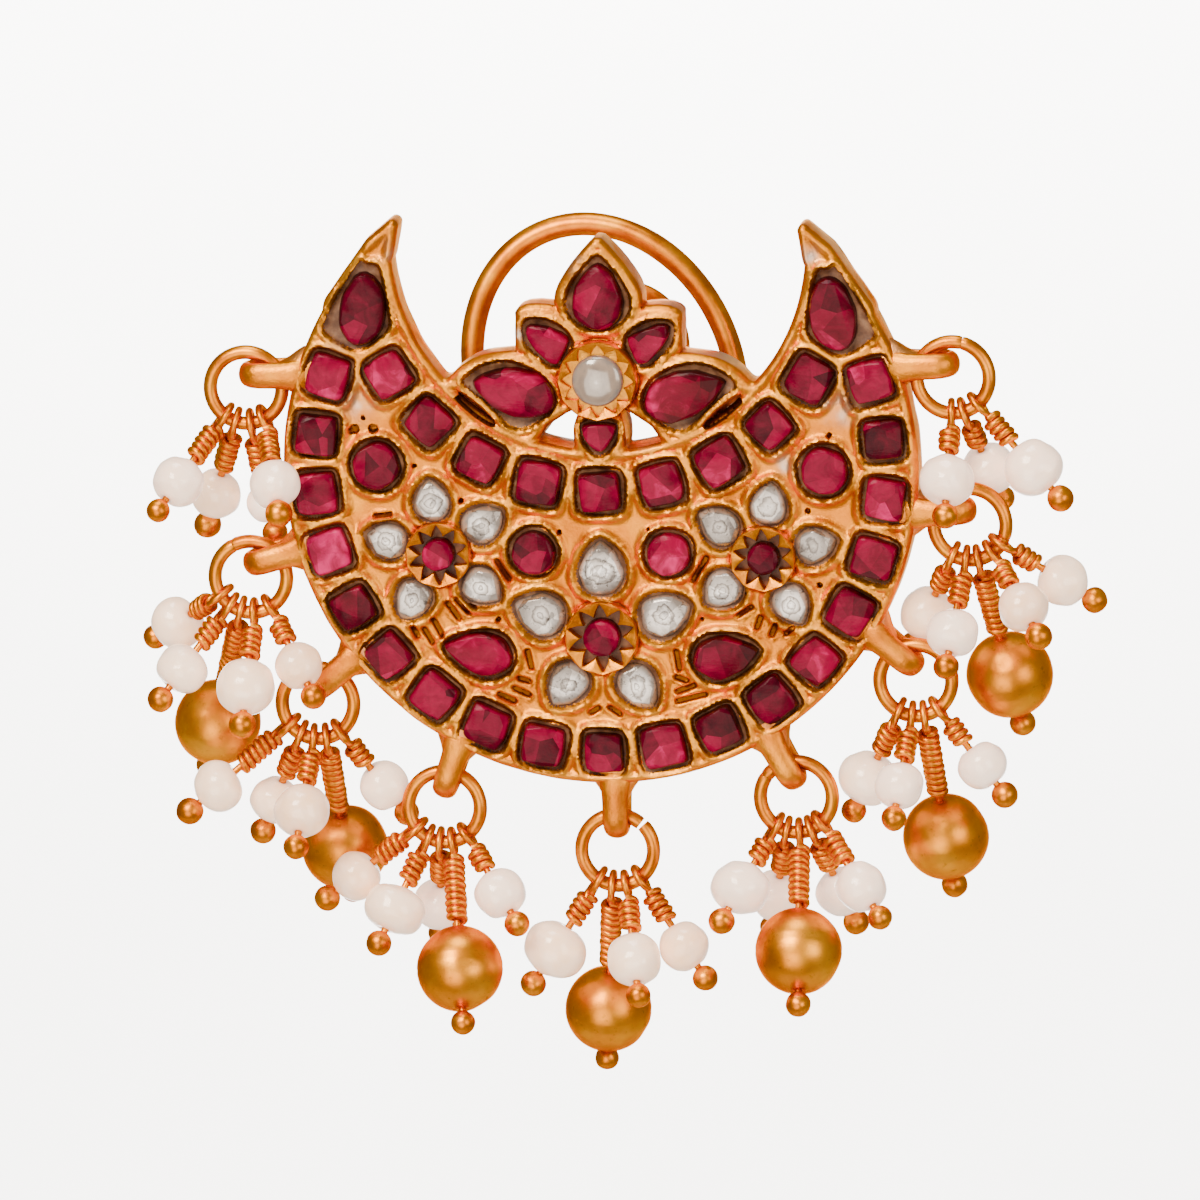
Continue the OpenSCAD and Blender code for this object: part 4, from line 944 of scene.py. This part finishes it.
def wire_nodes():
    """Geometry nodes that sweep a round wire along each path of a mesh of edges, and
    put a melted ball at the points that carry one."""
    g = bpy.data.node_groups.new("wire along a path", "GeometryNodeTree")
    for word, kind in (("Geometry", "Geometry"), ("Wire radius", "Float"), ("Sides", "Int"),
                       ("Ball uneven", "Float"), ("Finish", "Material")):
        g.interface.new_socket(word, in_out="INPUT", socket_type="NodeSocket" + kind)
    g.interface.new_socket("Geometry", in_out="OUTPUT", socket_type="NodeSocketGeometry")
    given = add(g, "NodeGroupInput", out=None).outputs
    thick = add(g, "GeometryNodeInputNamedAttribute", {"Name": "thick"}, data_type="FLOAT")
    ball = add(g, "GeometryNodeInputNamedAttribute", {"Name": "ball"}, data_type="FLOAT")
    curve = add(g, "GeometryNodeMeshToCurve", {"Mesh": given["Geometry"]})
    curve = add(g, "GeometryNodeSetCurveRadius", {"Curve": curve, "Radius": thick})
    profile = add(g, "GeometryNodeCurvePrimitiveCircle", {"Resolution": given["Sides"],
                                                          "Radius": given["Wire radius"]})
    tube = add(g, "GeometryNodeCurveToMesh", {"Curve": curve, "Profile Curve": profile, "Fill Caps": True}, None)
    if "Scale" in tube.inputs:
        g.links.new(thick, tube.inputs["Scale"])
    grain = add(g, "GeometryNodeMeshIcoSphere", {"Radius": 1.0, "Subdivisions": 4})
    here = add(g, "FunctionNodeCompare", {"A": ball, "B": 0.00001}, data_type="FLOAT", operation="GREATER_THAN")
    balls = add(g, "GeometryNodeInstanceOnPoints", {"Points": given["Geometry"], "Selection": here,
                                                    "Instance": grain, "Scale": ball})
    balls = add(g, "GeometryNodeRealizeInstances", {"Geometry": balls})
    lumps = add(g, "ShaderNodeTexNoise", {"Scale": 1300.0, "Detail": 1.0})
    lumps = add(g, "ShaderNodeMath", {0: lumps, 1: 0.5}, operation="SUBTRACT")
    lumps = add(g, "ShaderNodeMath", {0: lumps, 1: given["Ball uneven"]}, operation="MULTIPLY")
    push = add(g, "ShaderNodeVectorMath", {0: add(g, "GeometryNodeInputNormal"), "Scale": lumps}, operation="SCALE")
    balls = add(g, "GeometryNodeSetPosition", {"Geometry": balls, "Offset": push})
    both = add(g, "GeometryNodeJoinGeometry", out=None)
    g.links.new(tube.outputs[0], both.inputs[0])
    g.links.new(balls, both.inputs[0])
    whole = add(g, "GeometryNodeRealizeInstances", {"Geometry": both.outputs[0]})
    whole = add(g, "GeometryNodeSetShadeSmooth", {"Geometry": whole})
    whole = add(g, "GeometryNodeSetMaterial", {"Geometry": whole, "Material": given["Finish"]})
    add(g, "NodeGroupOutput", {"Geometry": whole}, None)
    return g


WIRE_TREE = wire_nodes()


def wires(name, paths, radius, sides, body, nodes):
    """One piece of wire along paths of (points, thickness, ball radius), in millimetres."""
    points, edges, thick, ball = [], [], [], []
    for path, t, b in paths:
        edges += [(len(points) + i, len(points) + i + 1) for i in range(len(path) - 1)]
        points += (np.asarray(path) * 0.001).tolist()
        thick += list(t)
        ball += [v * 0.001 for v in b]
    mesh = bpy.data.meshes.new(name + " path")
    mesh.from_pydata(points, edges, [])
    mesh.attributes.new("thick", "FLOAT", "POINT").data.foreach_set("value", thick)
    mesh.attributes.new("ball", "FLOAT", "POINT").data.foreach_set("value", ball)
    obj = bpy.data.objects.new(name + " path", mesh)
    bpy.context.scene.collection.objects.link(obj)
    mod = obj.modifiers.new("wire", "NODES")
    mod.node_group = WIRE_TREE
    values = {"Wire radius": radius * 0.001, "Sides": sides, "Ball uneven": 0.00009, "Finish": WIRE}
    for item in WIRE_TREE.interface.items_tree:
        if item.in_out == "INPUT" and item.name in values:
            mod[item.identifier] = values[item.name]
    shown = obj.evaluated_get(bpy.context.evaluated_depsgraph_get())
    made = bpy.data.meshes.new_from_object(shown)
    made.materials.clear()
    made.materials.append(WIRE)
    made.set_sharp_from_angle(angle=math.radians(50))
    bpy.data.objects.remove(obj)
    made.name = name
    piece(name, made, body, nodes, "gilt_silver")


RINGS = {}
for i, (name, (phi, way)) in enumerate(BAILS.items()):
    phi, way = math.radians(phi), math.radians(way)
    x, z = math.cos(way), math.sin(way)
    hang = min(math.sqrt(INNER ** 2 - (u * BAR_DEEP * x - v * BAR_WIDE * z) ** 2)
               - (u * BAR_DEEP * z + v * BAR_WIDE * x) for u in (-1, 1) for v in (-1, 1))
    RINGS[name] = np.array((CRESCENT_R * math.cos(phi) + BAIL_REACH * x, HANG_Y,
                            CRESCENT_R * math.sin(phi) + CRESCENT_Z + BAIL_REACH * z - hang))
    # Where its cut is, how far it stands open, and how far its ends miss each other
    cut, open_by, twist = (47, 5.0, 0.06) if name == "e" else (20 + 97 * i, 0.7, 0.012)
    t = math.radians(cut) + np.linspace(math.radians(open_by / 2), 2 * math.pi - math.radians(open_by / 2),
                                        RING_POINTS)
    path = RINGS[name] + RING_R * np.stack([np.cos(t), np.zeros(RING_POINTS), np.sin(t)], 1)
    path[:, 1] += np.linspace(-twist, twist, RING_POINTS)
    thick = 1 + 0.02 * ripple(path, 1.2, 70 + i)
    thick[[0, -1]] *= 0.93
    wires("ring_wire_" + name, [(path, thick, np.zeros(RING_POINTS))], RING_WIRE, 18, "earring",
          ["jump_ring_" + name])

# HANGING CLUSTERS
# Forty head pins of gilt wire with a melted ball at the end, which go up through a
# pearl or a gold bead, round the jump ring as an eye, and back down in tight turns
# over their own stem. They are bent by hand, each a little otherwise.
EYE_R, PIN_WIRE, PITCH, GAP = 0.82, 0.19, 0.4, 0.08
BALL_R, GOLD_R, PEARL, COIL_R, COIL_TOP, EYE_POINTS = 0.7, 2.4, 3.5, 0.42, 0.84, 44
# Drops: place on the ring from its lowest point to the right, lean to the right and
# to the front, in degrees, the wire's turns, and the pearl's width and height as
# shares of PEARL; those without a pearl carry a gold bead
DROPS = {
    "a": [(-39, -34, 37, 6, 0.80, 0.76), (-18, -18, -19, 6, 0.80, 0.76), (7, 8, -17, 7, 0.68, 0.62),
          (30, 19, 48, 6, 0.80, 0.74)],
    "b": [(-59, -54, -32, 4, 0.86, 0.76), (-38, -36, 22, 5, 0.82, 0.76), (4, -1, 38, 5, 0.94, 0.88),
          (32, 33, 32, 4, 0.77, 0.75), (-17, -16, -28, 12)],
    "c": [(-54, -49, 11, 7, 0.82, 0.76), (-29, -23, -14, 5, 0.82, 0.76), (-9, -4, 40, 5, 0.88, 0.85),
          (38, 35, -15, 4, 0.80, 0.76), (13, 3, -29, 11)],
    "d": [(-53, -51, -2, 5, 0.80, 0.76), (-29, -24, 24, 5, 1.00, 0.76), (-8, -5, -29, 5, 0.86, 0.80),
          (38, 36, 29, 4, 0.80, 0.76), (12, 8, 32, 10)],
    "e": [(-33, -32, 5, 5, 1.00, 0.86), (13, 12, 36, 5, 0.86, 0.84), (39, 34, 8, 5, 0.80, 0.78),
          (-9, -5, -18, 11)],
    "f": [(-36, -29, 31, 4, 0.97, 0.82), (-16, -12, -24, 5, 0.86, 0.80), (24, 20, -24, 5, 0.82, 0.80),
          (44, 38, 29, 5, 0.82, 0.80), (4, 4, 35, 9)],
    "g": [(-29, -25, -14, 5, 0.94, 0.82), (-8, -6, 39, 5, 0.77, 0.73), (38, 37, -1, 4, 0.80, 0.73),
          (13, 6, -21, 11)],
    "h": [(-29, -25, -20, 4, 0.86, 0.82), (-8, -7, 36, 5, 0.80, 0.76), (38, 37, 37, 4, 0.82, 0.76),
          (59, 55, -16, 4, 0.82, 0.80), (13, 11, -20, 10)],
    "i": [(-4, 1, 38, 4, 0.86, 0.82), (17, 18, -27, 4, 0.86, 0.80), (43, 42, 6, 5, 0.92, 0.86)],
}


def drop_frame(name, drop):
    """The middle of a drop's eye, and its three ways: through the eye, across it, up."""
    at, right, front = (math.radians(v) for v in drop[:3])
    down = np.array((math.sin(right) * math.cos(front), -math.sin(front), -math.cos(right) * math.cos(front)))
    wire = np.array((math.cos(at), 0, math.sin(at)))
    x = wire - (wire @ down) * down
    x /= np.linalg.norm(x)
    middle = RINGS[name] + RING_R * np.array((math.sin(at), 0, -math.cos(at)))
    return middle + (EYE_R - PIN_WIRE - RING_WIRE - GAP) * down, x, np.cross(-down, x), -down


def in_frame(points, spot):
    o, x, y, z = spot
    return o + np.outer(points[:, 0], x) + np.outer(points[:, 1], y) + np.outer(points[:, 2], z)


def is_gold(drop):
    return len(drop) == 4


def bead_size(drop):
    return (2 * GOLD_R, 2 * GOLD_R) if is_gold(drop) else (drop[4] * PEARL, drop[5] * PEARL)


def bead_down(drop):
    return EYE_R + drop[3] * PITCH + GAP + bead_size(drop)[1] / 2


def pin_path(drop, r):
    """The wire from the ball up the stem, round the eye and down in turns."""
    ball_z = -bead_down(drop) - bead_size(drop)[1] / 2 - BALL_R - GAP / 2
    stem = [(0, 0, z) for z in np.linspace(ball_z, -1.2, 7)] + [(-0.04, 0.02, -1.0)]
    t = np.radians(np.linspace(-76, 256, EYE_POINTS))
    wide = EYE_R * (1 + r.normal(0, 0.012))
    eye = [(-0.13 + 0.26 * k, wide * math.cos(a) * (1 - 0.45 * min(0, math.sin(a)) ** 2), EYE_R * math.sin(a))
           for k, a in zip(np.linspace(0, 1, EYE_POINTS), t)]
    low = EYE_R + (drop[3] - 1) * PITCH + 0.12
    turns = (low - COIL_TOP) / (PITCH * 0.965)
    count = max(12, int(turns * 20))
    phi = math.radians(-75) + np.linspace(0, turns * 2 * math.pi, count)
    down = np.linspace(-COIL_TOP, -low, count) + 0.012 * np.sin(phi * 0.7 + r.uniform(0, 6))
    out = COIL_R + 0.018 * np.sin(phi * 0.37 + r.uniform(0, 6)) + 0.015 * np.linspace(1, -1, count)
    coil = np.stack([out * np.cos(phi), out * np.sin(phi), down], 1)
    points = np.vstack([stem, eye, coil])
    # The cut end of the wire is pressed thin
    thick, ball = np.ones(len(points)), np.zeros(len(points))
    thick[-2:] = 0.85, 0.55
    ball[0] = BALL_R * (1 + r.normal(0, 0.035))
    return points, thick, ball


for name, drops in DROPS.items():
    paths = []
    for i, drop in enumerate(drops):
        points, thick, ball = pin_path(drop, np.random.default_rng([81, i, ord(name)]))
        paths.append((in_frame(points, drop_frame(name, drop)), thick, ball))
    wires("pin_wire_" + name, paths, PIN_WIRE + 0.008, 12, "earring", ["head_pins_" + name])

# PEARLS
# Thirty-three freshwater pearls, off-round and a little flat at their drill holes,
# some pink-white and some creamy, brown round the holes.


def ball_mesh(subdivisions):
    bm = bmesh.new()
    bmesh.ops.create_icosphere(bm, subdivisions=subdivisions, radius=1.0)
    v, f = np.array([q.co for q in bm.verts]), [tuple(q.index for q in face.verts) for face in bm.faces]
    bm.free()
    return v, f


def nacre(node, where):
    """White with a pink or cream body, painted darker and rosier as shade where it turns
    away from the camera, a painted glow, a soft lustre under a clear skin, brown at the
    drill hole, and faint rings round it."""
    tone, hole, along = (node("Attribute", out="Fac", attribute_name=k) for k in ("tone", "hole", "along"))
    body = node("ValToRGB", {"Fac": tone}, stops=[(0.0, "ffd4b0"), (0.35, "ffdabc"), (0.6, "ffd4a8"),
                                                  (0.85, "f8c48c"), (1.0, "eeb274")])
    cloud = node("TexNoise", {"Vector": where, "Scale": 800, "Detail": 4, "Roughness": 0.55})
    cloud = node("Math", {0: cloud, 1: 0.5}, operation="MULTIPLY")
    # Painted shade: darker and rosier where the surface turns away from the camera
    edge = node("LayerWeight", {"Blend": 0.35}, "Facing")
    edge = node("Math", {0: edge, 1: 0.5}, operation="MULTIPLY")
    for share, tint in ((cloud, "fffdfb"), (edge, "d8ac90"), (hole, "5a3a22")):
        body = node("Mix", {0: share, 6: body, 7: linear(tint)}, 2, data_type="RGBA")
    along = node("Math", {0: along, 1: 7.0}, operation="MULTIPLY")
    own = node("Math", {0: tone, 1: 31.0}, operation="MULTIPLY")
    rings = node("CombineXYZ", {0: along, 1: own})
    rings = node("TexNoise", {"Vector": rings, "Scale": 1.0, "Detail": 3.0})
    lumps = node("TexNoise", {"Vector": where, "Scale": 1500, "Detail": 3, "Roughness": 0.55})
    height = node("Mix", {0: 0.5, 6: rings, 7: lumps}, 2, data_type="RGBA")
    bump = node("Bump", {"Height": height, "Strength": 0.6, "Distance": 0.0001})
    # The emission of the body colour is a painted glow
    return node("BsdfPrincipled", {
        "Base Color": body, "Emission Color": body, "Emission Strength": 1.2, "Roughness": 0.22,
        "Subsurface Weight": 0.12, "Subsurface Scale": 0.0006, "Subsurface Radius": (1.0, 0.7, 0.55),
        "Coat Weight": 0.9, "Coat Roughness": 0.08, "Normal": bump})


NACRE = material("pearl nacre", nacre)
unit, unit_faces = ball_mesh(5)
for name, drops in DROPS.items():
    verts, faces, given = [], [], []
    for i, drop in enumerate(drops):
        if is_gold(drop):
            continue
        r = np.random.default_rng([91, i, ord(name)])
        w, h = bead_size(drop)
        size = np.array((w * (1 + r.uniform(-0.04, 0.0)), w * (1 + r.uniform(-0.05, 0.0)), h * 0.985)) / 2
        # Flattened towards the poles like a button, then made uneven
        flat = unit.copy()
        flat[:, 2] = np.sign(unit[:, 2]) * np.abs(unit[:, 2]) ** r.uniform(0.82, 0.98)
        lumps = 1 + 0.04 * ripple(unit, 1.1, 700 + i + 10 * ord(name)) + 0.016 * ripple(unit, 0.45, 701 + i)
        p = flat * size * np.minimum(lumps, 1.03)[:, None]
        off = np.hypot(p[:, 0], p[:, 1])
        p[:, 2] -= np.sign(p[:, 2]) * 0.16 * np.exp(-((off / 0.3) ** 2))
        faces += [tuple(len(verts) + k for k in q) for q in unit_faces]
        verts += in_frame(p - (0, 0, bead_down(drop)), drop_frame(name, drop)).tolist()
        given += np.stack([np.full(len(p), r.random()), 0.9 * np.exp(-((off / 0.27) ** 4)), unit[:, 2]], 1).tolist()
    tone, hole, along = np.array(given).T
    make("nacre_" + name, verts, faces, [NACRE], "earring", ["pearls_" + name], "pearl",
         tone=tone, hole=hole, along=along)

# GOLD BEADS
# Seven hollow gilt balls made of two pressed halves, burnished, with soft dents and
# a faint seam round the middle.


def gilt_ball(node, where):
    """Burnished gilding: broad soft highlights, an orange shade, and fine scratches
    that run round the ball; rubbed spots are browner and blunter."""
    cloud, spots, grain = (
        node("TexNoise", {"Vector": where, "Scale": s, "Detail": d, "Roughness": r})
        for s, d, r in ((350, 5, 0.55), (2200, 6, 0.65), (3500, 4, 0.55)))
    base = node("ValToRGB", {"Fac": cloud}, stops=[(0.32, "c87206"), (0.52, "e48c0a"), (0.7, "f6a81c")])
    worn = node("ValToRGB", {"Fac": spots}, stops=[(0.58, "000000"), (0.7, "b4b4b4")])
    base = node("Mix", {0: worn, 6: base, 7: linear("8a4a0c")}, 2, data_type="RGBA")
    lines = node("Attribute", out="Fac", attribute_name="along")
    lines = node("Math", {0: lines, 1: 60.0}, operation="MULTIPLY")
    lines = node("TexNoise", {"Vector": node("CombineXYZ", {0: lines}), "Scale": 1.0, "Detail": 2.0})
    rough = node("Math", {0: lines, 1: 0.1, 2: 0.2}, operation="MULTIPLY_ADD")
    rough = node("Math", {0: spots, 1: 0.22, 2: rough}, operation="MULTIPLY_ADD")
    height = node("Mix", {0: 0.6, 6: lines, 7: grain}, 2, data_type="RGBA")
    bump = node("Bump", {"Height": height, "Strength": 0.22, "Distance": 0.00005})
    return node("BsdfPrincipled", {"Base Color": base, "Metallic": 1.0, "Roughness": rough,
                                   "Specular Tint": GILT_EDGE, "Normal": bump})


BALL = material("burnished gilding", gilt_ball)
for name, drops in DROPS.items():
    for i, drop in enumerate(drops):
        if not is_gold(drop):
            continue
        r = np.random.default_rng([97, i, ord(name)])
        radius = GOLD_R * (0.992 + 0.006 * ripple(unit, 1.4, 800 + ord(name)))
        for _ in range(8):
            at = r.normal(size=3)
            at /= np.linalg.norm(at)
            far = np.arccos(np.clip(unit @ at, -1, 1))
            radius -= r.uniform(0.02, 0.06) * np.exp(-((far / r.uniform(0.16, 0.34)) ** 2))
        radius -= 0.02 * np.exp(-((unit[:, 2] / 0.012) ** 2))
        p = unit * radius[:, None]
        off = np.hypot(p[:, 0], p[:, 1])
        lip, hole = np.exp(-(((off - 0.42) / 0.12) ** 2)), np.exp(-((off / 0.26) ** 4))
        p[:, 2] += np.sign(p[:, 2]) * (0.05 * lip - 0.1 * hole)
        spot = drop_frame(name, drop)
        make("ball_" + name, in_frame(p - (0, 0, bead_down(drop)), spot), unit_faces, [BALL], "earring",
             ["gold_bead_" + name], "gilt_silver", along=unit[:, 2])

# STAGE
# A plain pale floor that runs up behind the earring, a warm key lamp at the upper
# left, a fill at the right, small ones from the front and the top, one that whitens
# the wall, and a camera where the photo's was. Lengths here are in metres.


def plain_floor(node, where):
    """Matt paper with hardly any tint to it."""
    cloud = node("TexNoise", {"Vector": where, "Scale": 20, "Detail": 2, "Roughness": 0.55})
    tint = node("ValToRGB", {"Fac": cloud}, stops=[(0.3, "f1efec"), (0.7, "f6f4f1")])
    return node("BsdfPrincipled", {"Base Color": tint, "Roughness": 0.8})


FLOOR_Z, WALL_Y, BEND = -0.6, 1.5, 0.25
curve = [(-0.35, 0.0)] + [(WALL_Y - BEND + BEND * math.sin(a), BEND - BEND * math.cos(a))
                          for a in np.linspace(0, math.pi / 2, 16)] + [(WALL_Y, 1.2)]
mesh = bpy.data.meshes.new("floor")
mesh.from_pydata([(x, y, FLOOR_Z + z) for y, z in curve for x in (-1.2, 1.2)], [],
                 [(2 * i, 2 * i + 1, 2 * i + 3, 2 * i + 2) for i in range(len(curve) - 1)])
mesh.shade_smooth()
mesh.materials.append(material("pale paper", plain_floor))
floor = bpy.data.objects.new("floor", mesh)
bpy.context.scene.collection.objects.link(floor)

middle = Vector((-0.0002, -0.0015, -0.0124))
# Lamps: place, size, power, colour and the point that each faces
for word, spot, size, power, tint, aim in (
        ("key", (-0.2, -0.5, 0.42), 0.3, 7.0, "fff0dc", middle),
        ("fill", (0.42, -0.4, 0.1), 0.3, 1.6, "fff2e0", middle),
        ("front", (-0.12, -0.75, -0.16), 0.5, 3.6, "fff0dc", middle),
        ("top", (-0.02, -0.02, 0.36), 0.16, 0.8, "ffffff", middle),
        ("backdrop", (-0.21, 1.2, 0.02), 0.24, 22.0, "ffffff", Vector((-0.21, 1.5, -0.3)))):
    lamp = bpy.data.lights.new(word, "AREA")
    lamp.size = size
    lamp.energy = power
    lamp.color = linear(tint)[:3]
    obj = bpy.data.objects.new(word, lamp)
    obj.location = spot
    obj.rotation_euler = (aim - Vector(spot)).to_track_quat("-Z", "Y").to_euler()
    bpy.context.scene.collection.objects.link(obj)
world = bpy.data.worlds.new("soft white room")
world.use_nodes = True
air = world.node_tree.nodes["Background"].inputs
air["Color"].default_value = linear("f7f5f2")
air["Strength"].default_value = 0.38
bpy.context.scene.world = world

# The camera's place as the photo gives it, and the width that its picture shows
PICTURE_WIDE = 0.0655
view = bpy.data.cameras.new("photo view")
azimuth, height, distance = math.radians(8), math.radians(11), 1.2
spot = middle + distance * Vector((math.sin(azimuth) * math.cos(height), -math.cos(azimuth) * math.cos(height),
                                   math.sin(height)))
view.sensor_width = 36.0
view.lens = view.sensor_width * distance / PICTURE_WIDE
camera = bpy.data.objects.new("photo view", view)
camera.location = spot
turn = (middle - spot).to_track_quat("-Z", "Y").to_matrix().to_4x4()
camera.rotation_euler = (turn @ Matrix.Rotation(math.radians(-0.8), 4, "Z")).to_euler()
bpy.context.scene.collection.objects.link(camera)
bpy.context.scene.camera = camera
